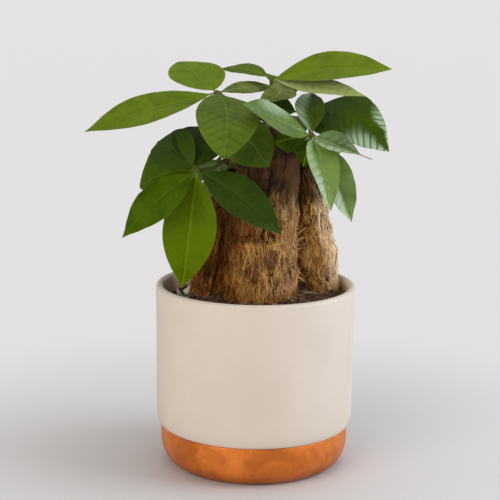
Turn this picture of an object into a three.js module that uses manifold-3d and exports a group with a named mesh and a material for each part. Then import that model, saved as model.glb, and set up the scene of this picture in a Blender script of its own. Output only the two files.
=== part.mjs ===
// A potted money tree: a two-part planter, its soil, three fibrous trunks, short green shoots on their
// tops, and palmate leaves whose leaflets spread from a hub at the end of each leaf stalk.
// Millimetres, +Z up, origin at the middle of the planter's foot. The front of the plant faces -Y.

import * as THREE from "three";
import { mergeVertices } from "three/addons/utils/BufferGeometryUtils.js";
import Module from "manifold-3d";

const wasm = await Module();
wasm.setup();

// ---------------------------------------------------------------- driving dimensions

const GAP = 0.3; // between touching pieces

const RIM_HEIGHT = 138;
const RIM_RADIUS = 75;
const WALL = 5.3;
const BODY_WAIST_RADIUS = 74.2; // the white body, just above its rounded lower edge
const BODY_EDGE_HEIGHT = 11; // of that rounded edge
const STEP_HEIGHT = 31; // where the white body ends and the coloured base shows
const BODY_SEAT = 15; // height of the slope round the body's foot
const POT_FLOOR = 7;
const FLOOR_SLOPE = 8; // between the body's floor and its wall, inside
const FOOT_RING_WIDTH = 8;
const FOOT_RING_HEIGHT = 2;
const DRAIN_RADIUS = 6;

const BASE_RADIUS = 71;
const BASE_WALL = 5;
const BASE_FLOOR = 4;
const BASE_BEND = 22; // height of the curve under the base
const FOOT_RADIUS = 58;
const POT_SIDES = 48;

const SOIL_LEVEL = 126.5;
const SOIL_TILT = 0.045; // the soil lies higher on the right
const SOIL_MOUND = 2.2; // and is heaped towards the trunks
const SOIL_LUMPS = 0.5;
const SOIL_RINGS = [0.82, 0.62, 0.4, 0.18]; // shares of its radius

const ROOT_HEIGHT = 80; // lower end of the trunks, in the soil
const BARK_STARTS = SOIL_LEVEL - 12; // the bark's ridges grow from here
const BARK_FULL = SOIL_LEVEL + 6; // to here

const BLADE_THICKNESS = 0.8;
const BLADE_STEPS = 7; // along a leaflet
const BLADE_COLUMNS = 4; // across it
const LEAFLET_STALK = 4; // bare stalk between the hub and a leaflet's blade
const LEAFLET_STALK_HALF = 0.9; // half its width, and half a blade's width at its tip
const RIPPLE_FULL = 8; // half-width of a blade from which its ripples have their full height
const RIPPLE_TURN = 15; // radians of ripple along a leaflet
const RIPPLE_SLANT = 2; // radians by which its margins run ahead of the rib
const HUB_RADIUS = 2.6;
const STALK_RADIUS = 1.3;
const STALK_SWELLING = 1.1; // at both ends of a leaf's stalk
const STALK_SIDES = 6;

const COLOURS = {
  glaze: 0xe6ddd0,
  copper: 0xc4692f,
  soil: 0x33241b,
  bark: 0x9c7a4e,
  shoot: 0x6b6a35,
  leaf: 0x4f7a1f,
};

// ---------------------------------------------------------------- solids

function solidOf(geometry) {
  const bare = geometry.index ? geometry.toNonIndexed() : geometry.clone();
  for (const name of ["normal", "uv"]) bare.deleteAttribute(name);
  const merged = mergeVertices(bare, 1e-4);
  return new wasm.Manifold(
    new wasm.Mesh({
      numProp: 3,
      vertProperties: merged.getAttribute("position").array,
      triVerts: new Uint32Array(merged.index.array),
    }),
  );
}

function geometryOf(solid) {
  const { vertProperties, triVerts } = solid.getMesh();
  const geometry = new THREE.BufferGeometry();
  geometry.setAttribute("position", new THREE.BufferAttribute(vertProperties, 3));
  geometry.setIndex(new THREE.BufferAttribute(triVerts, 1));
  const shaded = geometry.toNonIndexed();
  shaded.computeVertexNormals();
  return shaded;
}

// A closed skin over rings of points, each ring with as many points, ordered so that faces look out.
// The first and last rings are closed by a fan to their middle.
function ringGeometry(rings) {
  const count = rings[0].length;
  const middle = (ring) =>
    ring.reduce((sum, p) => sum.add(p), new THREE.Vector3()).divideScalar(count);
  const points = [...rings.flat(), middle(rings[0]), middle(rings[rings.length - 1])];
  const first = points.length - 2;
  const last = points.length - 1;
  const index = [];
  for (let i = 0; i < count; i++) {
    const next = (i + 1) % count;
    for (let r = 0; r < rings.length - 1; r++) {
      const [a, b] = [r * count + i, r * count + next];
      const [c, d] = [a + count, b + count];
      index.push(a, b, d, a, d, c);
    }
    const top = (rings.length - 1) * count;
    index.push(first, next, i, last, top + i, top + next);
  }
  return new THREE.BufferGeometry().setFromPoints(points).setIndex(index);
}

// A round stem along a curve, with a radius for each share of its length.
function stemGeometry(curve, radiusAt, steps, sides) {
  const frames = curve.computeFrenetFrames(steps, false);
  const rings = [];
  for (let s = 0; s <= steps; s++) {
    const centre = curve.getPointAt(s / steps);
    const ring = [];
    for (let i = 0; i < sides; i++) {
      const turn = (i / sides) * 2 * Math.PI;
      ring.push(
        centre
          .clone()
          .addScaledVector(frames.normals[s], Math.cos(turn) * radiusAt(s / steps))
          .addScaledVector(frames.binormals[s], Math.sin(turn) * radiusAt(s / steps)),
      );
    }
    rings.push(ring);
  }
  return ringGeometry(rings);
}

const degrees = THREE.MathUtils.degToRad;
const mix = THREE.MathUtils.lerp;
const point = (x, y, z) => new THREE.Vector3(x, y, z);

// The value at x on a line through [x, value] pairs, eased between them.
function profile(pairs, x) {
  const next = pairs.findIndex(([at]) => at >= x);
  if (next === 0) return pairs[0][1];
  if (next < 0) return pairs[pairs.length - 1][1];
  const [[x0, v0], [x1, v1]] = [pairs[next - 1], pairs[next]];
  return mix(v0, v1, THREE.MathUtils.smoothstep(x, x0, x1));
}

function node(name, geometry, colour, roughness, metalness = 0) {
  const material = new THREE.MeshStandardMaterial({ color: colour, roughness, metalness });
  const mesh = new THREE.Mesh(geometry, material);
  mesh.name = name;
  return mesh;
}

// ---------------------------------------------------------------- planter

// The planter's pieces are turned from profiles: flat points of radius and height.
const flat = (radius, height) => new THREE.Vector2(radius, height);

// Points on an oval about a centre, between two directions in degrees.
function round(centre, across, tall, from, to, steps) {
  return Array.from({ length: steps + 1 }, (_, i) => {
    const turn = degrees(mix(from, to, i / steps));
    return flat(centre.x + across * Math.cos(turn), centre.y + tall * Math.sin(turn));
  });
}

const turned = (profilePoints) =>
  geometryOf(solidOf(new THREE.LatheGeometry(profilePoints, POT_SIDES).rotateX(Math.PI / 2)));

const BODY_INNER_RADIUS = RIM_RADIUS - WALL;
const BASE_INNER_RADIUS = BASE_RADIUS - BASE_WALL;
const SPIGOT_RADIUS = BASE_INNER_RADIUS - 2 * GAP; // the body's foot, inside the base
const SPIGOT_INNER_RADIUS = SPIGOT_RADIUS - WALL;
const BODY_FOOT = BASE_FLOOR + GAP;
const BODY_FLOOR = BODY_FOOT + POT_FLOOR;

// The base is a shallow tray with a flat foot.
function potBase() {
  const bend = round(flat(FOOT_RADIUS, BASE_BEND), BASE_RADIUS - FOOT_RADIUS, BASE_BEND, -90, 0, 6);
  return turned([
    flat(0, 0),
    ...bend,
    flat(BASE_RADIUS, STEP_HEIGHT - GAP),
    flat(BASE_INNER_RADIUS, STEP_HEIGHT - GAP),
    flat(BASE_INNER_RADIUS, BASE_FLOOR + BODY_SEAT),
    flat(BASE_INNER_RADIUS - BODY_SEAT, BASE_FLOOR),
    flat(0, BASE_FLOOR),
  ]);
}

// The white body stands in the tray on a foot ring, and overhangs the tray's wall.
function potBody() {
  const lip = WALL / 2;
  const ring = SPIGOT_RADIUS - BODY_SEAT - FOOT_RING_WIDTH;
  const underside = BODY_FOOT + FOOT_RING_HEIGHT;
  const edge = flat(BASE_RADIUS, STEP_HEIGHT + BODY_EDGE_HEIGHT);
  return turned([
    flat(DRAIN_RADIUS, underside),
    flat(ring, underside),
    flat(ring, BODY_FOOT),
    flat(SPIGOT_RADIUS - BODY_SEAT, BODY_FOOT),
    flat(SPIGOT_RADIUS, BODY_FOOT + BODY_SEAT),
    flat(SPIGOT_RADIUS, STEP_HEIGHT),
    ...round(edge, BODY_WAIST_RADIUS - BASE_RADIUS, BODY_EDGE_HEIGHT, -90, 0, 3),
    ...round(flat(RIM_RADIUS - lip, RIM_HEIGHT - lip), lip, lip, 0, 180, 5),
    flat(SPIGOT_INNER_RADIUS, STEP_HEIGHT + BODY_EDGE_HEIGHT),
    flat(SPIGOT_INNER_RADIUS, BODY_FLOOR + FLOOR_SLOPE),
    flat(SPIGOT_INNER_RADIUS - FLOOR_SLOPE, BODY_FLOOR),
    flat(DRAIN_RADIUS, BODY_FLOOR),
    flat(DRAIN_RADIUS, underside),
  ]);
}

// ---------------------------------------------------------------- trunks

// Each trunk's middle line and radius are read by height; ridges is how far its fibre bundles stand out.
const TRUNKS = {
  trunk_center: {
    x: [[80, 5], [128, 3.5], [190, 3.3], [242, 9]],
    y: [[80, -3], [128, -4.5], [242, -2]],
    radius: [[80, 16], [128, 25.8], [150, 25.3], [185, 25.5], [215, 24], [234, 21.5], [242, 16]],
    ridges: 1.5,
    sides: 30,
    heights: [104, 128, 134, 142, 153, 165, 177, 189, 201, 213, 225, 236, 242],
  },
  trunk_right: {
    x: [[80, 44], [128, 51.5], [152, 46], [187, 41.5], [228, 38]],
    y: [[80, 10], [128, 12], [187, 18], [228, 22]],
    radius: [[80, 7], [128, 10.5], [153, 15], [187, 12.3], [215, 10.5], [228, 8.5]],
    ridges: 1,
    sides: 20,
    heights: [104, 128, 134, 143, 156, 170, 184, 198, 211, 222, 228],
  },
  trunk_left: {
    x: [[80, -31], [128, -35], [187, -26], [220, -20]],
    y: [[80, 13], [128, 17], [187, 23], [220, 28]],
    radius: [[80, 9], [128, 13.8], [150, 12], [187, 9.7], [212, 8.5], [220, 6]],
    ridges: 0.9,
    sides: 18,
    heights: [104, 128, 134, 143, 156, 170, 184, 198, 211, 220],
  },
};

// Fibre bundles round a trunk at an angle and height: a sum of waves, each with its own drift up the
// trunk, that fades out underground.
function bundles(angle, height, seed) {
  const drift = height * 0.012;
  const waves =
    0.5 * Math.cos(5 * angle + seed + drift) +
    0.35 * Math.cos(9 * angle + 2.1 * seed - 1.7 * drift) +
    0.3 * Math.cos(14 * angle + 3.7 * seed + 2.3 * drift);
  return waves * THREE.MathUtils.smoothstep(height, BARK_STARTS, BARK_FULL);
}

// A trunk, or with grow the space that its neighbours leave for it.
function trunkSolid({ x, y, radius, ridges, sides, heights }, grow = 0) {
  const levels = [ROOT_HEIGHT, ...heights];
  const rings = levels.map((height, level) =>
    Array.from({ length: sides }, (_, i) => {
      const turn = (i / sides) * 2 * Math.PI;
      const reach = profile(radius, height) + ridges * bundles(turn, height, x[0][1]) + grow;
      const lift = level === 0 ? -grow : level === heights.length ? grow : 0;
      return point(
        profile(x, height) + reach * Math.cos(turn),
        profile(y, height) + reach * Math.sin(turn),
        height + lift,
      );
    }),
  );
  return solidOf(ringGeometry(rings));
}

// ---------------------------------------------------------------- soil

function soilHeight(x, y) {
  const out = Math.hypot(x, y) / BODY_INNER_RADIUS;
  const heap = SOIL_MOUND * (1 - out * out);
  const lumps = Math.sin(0.21 * x + 0.9) * Math.cos(0.17 * y) + 0.8 * Math.sin(0.13 * x - 0.24 * y);
  return SOIL_LEVEL + SOIL_TILT * x + heap + SOIL_LUMPS * lumps;
}

// The soil fills the body up to its own height, with a hole for each trunk.
function soilSolid() {
  const foot = SPIGOT_INNER_RADIUS - GAP;
  const shoulder = STEP_HEIGHT + BODY_EDGE_HEIGHT;
  const lowest = soilHeight(-BODY_INNER_RADIUS, 0); // the body's wall leans out above it
  const edge = mix(foot, BODY_INNER_RADIUS - GAP, (lowest - shoulder) / (RIM_HEIGHT - shoulder));
  const ring = (radius, heightAt) =>
    Array.from({ length: POT_SIDES }, (_, i) => {
      const turn = (i / POT_SIDES) * 2 * Math.PI;
      const [x, y] = [radius * Math.cos(turn), radius * Math.sin(turn)];
      return point(x, y, heightAt(x, y));
    });
  const body = solidOf(
    ringGeometry([
      ring(foot - FLOOR_SLOPE, () => BODY_FLOOR + GAP),
      ring(foot, () => BODY_FLOOR + GAP + FLOOR_SLOPE),
      ring(foot, () => shoulder),
      ring(edge, soilHeight),
      ...SOIL_RINGS.map((share) => ring(edge * share, soilHeight)),
    ]),
  );
  return Object.values(TRUNKS).reduce((soil, trunk) => soil.subtract(trunkSolid(trunk, GAP)), body);
}

// ---------------------------------------------------------------- shoots

// Shoots on the trunk tops: points along each, and its radius at the foot and the tip.
const SHOOTS = {
  shoot_center: {
    path: [point(12, 0, 241.5), point(13, 2, 250), point(12, 4, 258)],
    radius: [5.5, 4],
  },
  shoot_right: {
    path: [point(38, 22, 227.5), point(39, 18, 236), point(40, 14, 244)],
    radius: [4.5, 3.4],
  },
  shoot_left: {
    path: [point(-6, -11, 228.5), point(-16, -17, 232.5), point(-25, -21, 234)],
    radius: [4.2, 3.2],
  },
  shoot_back: {
    path: [point(-19, 28, 219.5), point(-18.5, 32, 226), point(-18, 36, 232)],
    radius: [4, 3.2],
  },
};
const SHOOT_JOINTS = 0.35; // how far the joints along a shoot stand out
const JOINT_TURN = 15; // radians of those joints along a shoot

function shootSolid({ path, radius }, grow = 0) {
  const curve = new THREE.CatmullRomCurve3(path);
  const radiusAt = (share) => mix(...radius, share) + SHOOT_JOINTS * Math.cos(share * JOINT_TURN) + grow;
  return solidOf(stemGeometry(curve, radiusAt, 6, 8));
}

// ---------------------------------------------------------------- leaves

// Half-width share of a blade at t, from its stalk (0) to its tip (1), pointed at both ends. With a peak
// under 1 its widest place is nearer the stalk, and with full under 1 it is rounder.
const bladeShare = (t, peak, full) => Math.max(0, Math.sin(Math.PI * t ** peak)) ** full;

// One leaflet, with its hub at the origin. Its rib runs from the hub to the tip and bows by arch, a share
// of its length, towards face, the way that its upper side looks, and by bow to its left. It folds up
// along the rib by fold degrees, and ripples by wave millimetres. Its left half is wider by lean, and
// tail is the share of its length that is a dried thread at the tip.
function leafletSolid({
  tip,
  width,
  face,
  arch = 0.1,
  fold = 10,
  wave = 0.8,
  bow = 0,
  lean = 0,
  peak = 0.95,
  full = 0.95,
  tail = 0,
}) {
  const length = tip.length();
  const along = tip.clone().normalize();
  const out = face.clone().addScaledVector(along, -face.dot(along)).normalize();
  const side = out.clone().cross(along); // to the left, looking from the hub to the tip
  const [top, bottom] = [[], []];
  for (let s = 0; s <= BLADE_STEPS; s++) {
    const t = s / BLADE_STEPS;
    const rib = along.clone().multiplyScalar(t * length);
    rib.addScaledVector(out, arch * length * Math.sin(Math.PI * t));
    rib.addScaledVector(side, bow * length * Math.sin(Math.PI * t));
    const slope = arch * Math.PI * Math.cos(Math.PI * t);
    const up = out.clone().addScaledVector(along, -slope).normalize();
    const blade = Math.max(0, (t * length - LEAFLET_STALK) / (length - LEAFLET_STALK));
    const share = bladeShare(Math.min(1, blade / (1 - tail)), peak, full);
    const half = Math.max(LEAFLET_STALK_HALF, (width / 2) * share);
    const ripple = wave * Math.min(1, half / RIPPLE_FULL);
    for (let c = 0; c <= BLADE_COLUMNS; c++) {
      const across = (2 * c) / BLADE_COLUMNS - 1;
      const reach = across * half * (1 + lean * Math.sign(across));
      const rise = Math.sin(degrees(fold)) * Math.abs(reach);
      const wobble = ripple * across * across * Math.sin(t * RIPPLE_TURN + RIPPLE_SLANT * across);
      const place = rib
        .clone()
        .addScaledVector(side, reach * Math.cos(degrees(fold)))
        .addScaledVector(up, rise + wobble);
      top.push(place.clone().addScaledVector(up, BLADE_THICKNESS / 2));
      bottom.push(place.clone().addScaledVector(up, -BLADE_THICKNESS / 2));
    }
  }
  return solidOf(sheetGeometry(top, bottom, BLADE_STEPS, BLADE_COLUMNS));
}

// A closed sheet between two like grids of points, split into triangles alike on both faces. The columns
// run from right to left, looking along the steps with the top face up.
function sheetGeometry(top, bottom, steps, columns) {
  const row = columns + 1;
  const under = top.length;
  const index = [];
  const quad = (p, q, u, v) => index.push(p, q, u, p, u, v);
  for (let s = 0; s < steps; s++) {
    const [here, ahead] = [s * row, (s + 1) * row];
    for (let c = 0; c < columns; c++) {
      const [p, q, u, v] = [here + c, ahead + c, ahead + c + 1, here + c + 1];
      index.push(p, q, u, p, u, v);
      index.push(under + p, under + u, under + q, under + p, under + v, under + u);
    }
    quad(here, under + here, under + ahead, ahead);
    quad(here + columns, ahead + columns, under + ahead + columns, under + here + columns);
  }
  const end = steps * row;
  for (let c = 0; c < columns; c++) {
    quad(c, c + 1, under + c + 1, under + c);
    quad(end + c, under + end + c, under + end + c + 1, end + c + 1);
  }
  return new THREE.BufferGeometry().setFromPoints([...top, ...bottom]).setIndex(index);
}

// Each leaf: the hub that its leaflets spread from, the foot of its stalk inside the shoot, the middle of
// the stalk, and its leaflets in order round the hub. All points are in the plant's frame.
const LEAVES = {
  leaf_upper_left: {
    hub: point(-30, -22, 282.5),
    foot: point(12, 2, 250),
    stalk: point(-7, -4, 266),
    leaflets: [
      {
        tip: point(-122.5, -45, 256),
        width: 34,
        face: point(-0.1, -0.6, 0.9),
        arch: 0.03,
        lean: 0.1,
        peak: 1.05,
      },
      { tip: point(-60, 22, 301), width: 42, face: point(-0.05, -0.28, 1), arch: 0.04, fold: 0, full: 0.7 },
      {
        tip: point(9.5, 8, 285),
        width: 14.5,
        face: point(0, -0.8, 1),
        arch: 0.04,
        fold: 0,
        peak: 1.1,
        full: 0.75,
      },
      {
        tip: point(-22.5, -92, 247.5),
        width: 44,
        face: point(0.05, 0, 1),
        arch: 0.12,
        fold: 5,
        bow: 0.04,
        peak: 1.3,
        full: 0.75,
      },
    ],
  },
  leaf_upper_right: {
    hub: point(10, 0, 291),
    foot: point(12, 4, 256),
    stalk: point(9, 2, 276),
    leaflets: [
      { tip: point(96.5, -10, 300), width: 34, face: point(0, -0.6, 0.9), arch: 0.06, full: 0.85 },
      { tip: point(77, -30, 282), width: 24, face: point(0.2, -0.6, 1), arch: 0.03, fold: 0, peak: 0.8 },
      {
        tip: point(0, -36, 276.5),
        width: 22,
        face: point(0.2, -0.1, 1),
        arch: 0.05,
        bow: 0.27,
        lean: 0.15,
        peak: 1.1,
      },
      { tip: point(-29.5, 25, 296), width: 25, face: point(0, -0.24, 1), arch: 0.09, fold: 0 },
      { tip: point(26, 60, 271), width: 28, face: point(0, 0, 1), arch: 0.12 },
    ],
  },
  leaf_middle_right: {
    hub: point(38.5, -38, 254.6),
    foot: point(39.5, 16, 239),
    stalk: point(42, -10, 249),
    leaflets: [
      { tip: point(-10.8, -74, 280), width: 36, face: point(0.3, -0.6, 1), arch: 0, fold: 6 },
      {
        tip: point(39.5, 10, 281),
        width: 24,
        face: point(0, -0.6, 0.8),
        arch: 0.04,
        fold: 25,
        lean: 0.15,
        peak: 0.8,
      },
      {
        tip: point(51.3, -72, 206),
        width: 24,
        face: point(0.3, -1, 0.4),
        arch: 0.06,
        fold: 20,
        lean: 0.08,
        peak: 0.66,
        full: 0.85,
      },
      { tip: point(68, -45, 193.5), width: 27, face: point(0.5, -1, 0.3), arch: 0.06, fold: 18 },
      {
        tip: point(80, -62, 241),
        width: 20,
        face: point(0.2, -0.8, 0.9),
        arch: 0,
        lean: 0.15,
        peak: 0.6,
        tail: 0.2,
      },
      { tip: point(33, -30, 231), width: 17, face: point(-0.3, -1, 0.2), arch: 0.05, peak: 0.8 },
      { tip: point(10.5, -31, 247.5), width: 26, face: point(-0.3, -0.8, 0.7), arch: 0.05, peak: 0.75 },
    ],
  },
  leaf_right: {
    hub: point(32, 15, 265),
    foot: point(40, 14, 243),
    stalk: point(38, 17, 255),
    leaflets: [
      {
        tip: point(96, -15, 240.5),
        width: 66,
        face: point(0.4, -0.65, 0.9),
        arch: 0.19,
        fold: 0,
        lean: -0.02,
        peak: 0.82,
        full: 0.85,
      },
      { tip: point(80, 40, 250), width: 30, face: point(0.2, 0, 1), arch: 0.08 },
      { tip: point(62, 66, 250), width: 30, face: point(0, 0.2, 1), arch: 0.14 },
      { tip: point(-4, 36, 261), width: 27, face: point(0, -1, 1), arch: 0.1 },
    ],
  },
  leaf_lower_left: {
    hub: point(-43, -38, 228.5),
    foot: point(-23, -20, 234),
    stalk: point(-33, -29, 229),
    leaflets: [
      { tip: point(-54, -30, 140), width: 39, face: point(0.05, -1, 0.3), arch: 0.08, fold: 8, peak: 0.86 },
      { tip: point(-95, -60, 183), width: 33, face: point(-0.5, -1, 0.8), arch: 0.07, lean: 0.15 },
      { tip: point(18, -52, 185), width: 34, face: point(0.4, -1, 0.8), arch: 0.08, peak: 0.86 },
      {
        tip: point(-87.5, 5, 209),
        width: 33,
        face: point(-0.7, -0.7, 0.3),
        arch: 0.05,
        bow: -0.05,
        lean: -0.3,
        full: 0.7,
      },
      { tip: point(-74, 2, 243.5), width: 35, face: point(-0.4, -0.8, 0.8), arch: 0.15, peak: 0.85 },
      { tip: point(-41, 18, 254), width: 42, face: point(0, -0.7, 0.8), arch: 0.1, peak: 0.72 },
    ],
  },
  leaf_center: {
    hub: point(-19, -20, 262.5),
    foot: point(12, 1, 246),
    stalk: point(-2, -14, 255),
    leaflets: [
      {
        tip: point(7.5, -42, 232),
        width: 41,
        face: point(0.1, -0.8, 0.7),
        arch: 0.08,
        lean: -0.22,
        full: 0.75,
      },
      { tip: point(-34, -40, 252), width: 28, face: point(0, -0.3, 1), arch: 0.1 },
    ],
  },
  leaf_back_left: {
    hub: point(-30, 56, 222),
    foot: point(-18, 36, 231),
    stalk: point(-24, 48, 231),
    leaflets: [
      { tip: point(-80, 72, 180), width: 36, face: point(-0.3, 0.5, 1), arch: 0.14 },
      { tip: point(-58, 108, 190), width: 38, face: point(0, 0.5, 1), arch: 0.14 },
      { tip: point(-2, 112, 188), width: 38, face: point(0, 0.5, 1), arch: 0.14 },
      { tip: point(-72, 48, 218), width: 28, face: point(0, 0.2, 1), arch: 0.1 },
      { tip: point(-28, 80, 150), width: 34, face: point(0, 1, 0.4), arch: 0.1 },
    ],
  },
  leaf_back_right: {
    hub: point(53, 42, 238),
    foot: point(39.5, 16, 240),
    stalk: point(47, 30, 245),
    leaflets: [
      { tip: point(76, 80, 238), width: 32, face: point(0.3, 0.4, 1), arch: 0.12 },
      { tip: point(58, 114, 212), width: 38, face: point(0, 0.5, 1), arch: 0.14 },
      { tip: point(47, 76, 163), width: 28, face: point(0, 1, 0.4), arch: 0.1 },
      { tip: point(16, 86, 190), width: 34, face: point(-0.3, 1, 0.6), arch: 0.1 },
    ],
  },
  leaf_back_top: {
    hub: point(4, 44, 252),
    foot: point(12, 5, 252),
    stalk: point(9, 26, 257),
    leaflets: [
      { tip: point(-37, 48, 247), width: 28, face: point(0, 0.2, 1), arch: 0.1 },
      { tip: point(-44, 86, 234), width: 34, face: point(-0.2, 0.4, 1), arch: 0.12 },
      { tip: point(-2, 122, 222), width: 36, face: point(0, 0.4, 1), arch: 0.12 },
      { tip: point(38, 104, 236), width: 34, face: point(0.1, 0.4, 1), arch: 0.12 },
    ],
  },
};

function leafSolid({ hub, foot, stalk, leaflets }) {
  const path = [foot, stalk, hub].map((place) => place.clone().sub(hub));
  const curve = new THREE.CatmullRomCurve3(path);
  const stalkRadius = (share) => STALK_RADIUS + STALK_SWELLING * (2 * share - 1) ** 6;
  const parts = [
    solidOf(stemGeometry(curve, stalkRadius, 6, STALK_SIDES)),
    solidOf(new THREE.IcosahedronGeometry(HUB_RADIUS, 0)),
    ...leaflets.map((leaflet) => leafletSolid({ ...leaflet, tip: leaflet.tip.clone().sub(hub) })),
  ];
  return parts.reduce((leaf, part) => leaf.add(part));
}

// ---------------------------------------------------------------- the plant

const plant = new THREE.Group();
plant.add(node("pot_base", potBase(), COLOURS.copper, 0.35, 0.6));
plant.add(node("pot_body", potBody(), COLOURS.glaze, 0.55));
plant.add(node("soil", geometryOf(soilSolid()), COLOURS.soil, 0.95));

for (const [name, trunk] of Object.entries(TRUNKS)) {
  plant.add(node(name, geometryOf(trunkSolid(trunk)), COLOURS.bark, 0.9));
}

for (const [name, shoot] of Object.entries(SHOOTS)) {
  const trunks = Object.values(TRUNKS);
  const solid = trunks.reduce((cut, trunk) => cut.subtract(trunkSolid(trunk, GAP)), shootSolid(shoot));
  plant.add(node(name, geometryOf(solid), COLOURS.shoot, 0.7));
}

for (const [name, leaf] of Object.entries(LEAVES)) {
  const { x, y, z } = leaf.hub;
  const solid = Object.values(SHOOTS).reduce(
    (cut, shoot) => cut.subtract(shootSolid(shoot, GAP).translate([-x, -y, -z])),
    leafSolid(leaf),
  );
  const mesh = node(name, geometryOf(solid), COLOURS.leaf, 0.4);
  mesh.position.set(x, y, z);
  plant.add(mesh);
}

export default plant;
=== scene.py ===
"""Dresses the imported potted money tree: planter, soil, trunks, shoots and foliage, with their finishes,
and sets the floor, the lights and the camera.

Shapes are worked out in millimetres, in the part's own frame (+Z up, the front faces -Y), as whole numpy
arrays, and are scaled to metres when they become meshes.
"""

from __future__ import annotations

import itertools
import logging
import math
from collections.abc import Sequence
from dataclasses import dataclass, field
from enum import Enum

import bpy
import numpy as np
from mathutils import Matrix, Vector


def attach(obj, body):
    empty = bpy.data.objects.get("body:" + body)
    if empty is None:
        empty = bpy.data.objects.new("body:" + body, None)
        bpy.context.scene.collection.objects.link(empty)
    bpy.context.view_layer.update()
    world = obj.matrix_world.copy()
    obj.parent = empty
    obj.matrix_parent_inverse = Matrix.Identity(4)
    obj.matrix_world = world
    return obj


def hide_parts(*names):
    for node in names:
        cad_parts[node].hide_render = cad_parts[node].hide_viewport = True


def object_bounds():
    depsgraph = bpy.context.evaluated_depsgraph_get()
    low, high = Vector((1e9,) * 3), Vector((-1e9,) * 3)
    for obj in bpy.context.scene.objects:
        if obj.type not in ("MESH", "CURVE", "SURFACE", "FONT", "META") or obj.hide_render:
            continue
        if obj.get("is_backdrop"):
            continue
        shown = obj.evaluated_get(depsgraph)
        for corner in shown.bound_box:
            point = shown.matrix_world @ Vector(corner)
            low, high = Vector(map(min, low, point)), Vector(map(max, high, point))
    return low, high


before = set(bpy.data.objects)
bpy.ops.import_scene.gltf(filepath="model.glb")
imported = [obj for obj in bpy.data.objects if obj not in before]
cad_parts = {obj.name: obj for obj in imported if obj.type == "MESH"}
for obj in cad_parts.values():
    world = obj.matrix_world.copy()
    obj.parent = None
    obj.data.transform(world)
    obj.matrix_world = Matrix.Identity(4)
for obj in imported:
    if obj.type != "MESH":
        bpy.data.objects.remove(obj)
CAD_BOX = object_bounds()

LOG = logging.getLogger("money_tree")
MM = 0.001
ASKEW = (0.31, 0.83, 0.47)  # a direction that no thin tube runs along
Pairs = Sequence[tuple[float, float]]
Point = tuple[float, float, float]
Colour = tuple[float, float, float]
Socket = bpy.types.NodeSocket

# ---------------------------------------------------------------- shapes


@dataclass
class Skin:
    """A surface: points in mm, four-sided and three-sided faces, the finish of each face, and the values
    that the finishes read at each point, by name."""

    points: np.ndarray
    quads: np.ndarray
    tris: np.ndarray
    marks: dict[str, np.ndarray] = field(default_factory=dict)
    look: int = 0

    @staticmethod
    def join(skins: Sequence[Skin]) -> Skin:
        """Puts several skins with the same marks into one.

        Args:
            skins: The skins, each with its own look.

        Returns:
            One skin, to which looks_of gives the look of each face.
        """
        starts = np.cumsum([0] + [len(skin.points) for skin in skins])
        return Skin(
            points=np.concatenate([skin.points for skin in skins]),
            quads=np.concatenate([skin.quads + at for skin, at in zip(skins, starts)]),
            tris=np.concatenate([skin.tris + at for skin, at in zip(skins, starts)]),
            marks={
                name: np.concatenate([skin.marks[name] for skin in skins])
                for name in skins[0].marks
            },
        )

    @staticmethod
    def looks_of(skins: Sequence[Skin]) -> np.ndarray:
        """The finish number of each face of the joined skins, four-sided faces first.

        Args:
            skins: The skins, each with its own look.

        Returns:
            A number for each face.
        """
        quads = [np.full(len(skin.quads), skin.look) for skin in skins]
        tris = [np.full(len(skin.tris), skin.look) for skin in skins]
        return np.concatenate(quads + tris).astype(np.int32)


def unit(vectors: np.ndarray) -> np.ndarray:
    """The vectors, each divided by its length."""
    return vectors / np.linalg.norm(vectors, axis=-1, keepdims=True)


def eased(pairs: Pairs, at: np.ndarray) -> np.ndarray:
    """Reads a curve through (place, value) pairs, eased between them by 3s^2 - 2s^3.

    Args:
        pairs: Places in rising order, with the value at each.
        at: Where to read it.

    Returns:
        The values, held level before the first pair and after the last.
    """
    places, values = np.array(pairs, float).T
    after = np.clip(np.searchsorted(places, at), 1, len(places) - 1)
    before = after - 1
    share = np.clip((at - places[before]) / (places[after] - places[before]), 0, 1)
    return values[before] + (values[after] - values[before]) * share**2 * (3 - 2 * share)


def step(at: np.ndarray, low: float, high: float) -> np.ndarray:
    """Rises smoothly from 0 at low to 1 at high."""
    share = np.clip((at - low) / (high - low), 0, 1)
    return share * share * (3 - 2 * share)


def woven(turn: np.ndarray, height: np.ndarray, cells: int, tall: float, seed: int) -> np.ndarray:
    """Smooth noise on a cylinder: a random number at each corner of a lattice, eased between corners.

    Args:
        turn: Angles in radians. The noise closes on itself after a full turn.
        height: Heights in mm.
        cells: Lattice cells round the cylinder.
        tall: Height of a cell in mm.
        seed: Which random numbers.

    Returns:
        Values from 0 to 1.
    """
    rows = 97
    lattice = np.random.default_rng(seed).random((rows, cells))
    across = (turn / (2 * np.pi) * cells) % cells
    along = (height / tall) % rows
    column, row = across.astype(int) % cells, along.astype(int) % rows
    right, up = (column + 1) % cells, (row + 1) % rows
    s, t = across - np.floor(across), along - np.floor(along)
    s, t = s * s * (3 - 2 * s), t * t * (3 - 2 * t)
    low = lattice[row, column] * (1 - s) + lattice[row, right] * s
    high = lattice[up, column] * (1 - s) + lattice[up, right] * s
    return low * (1 - t) + high * t


def full_turn(count: int) -> np.ndarray:
    """A number of angles, evenly round a full turn from 0."""
    return np.arange(count) / count * 2 * np.pi


def crest(noise: np.ndarray) -> np.ndarray:
    """Turns noise into sharp crests: 1 where it is a half, falling to 0 at its ends."""
    return 1 - np.abs(2 * noise - 1)


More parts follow.
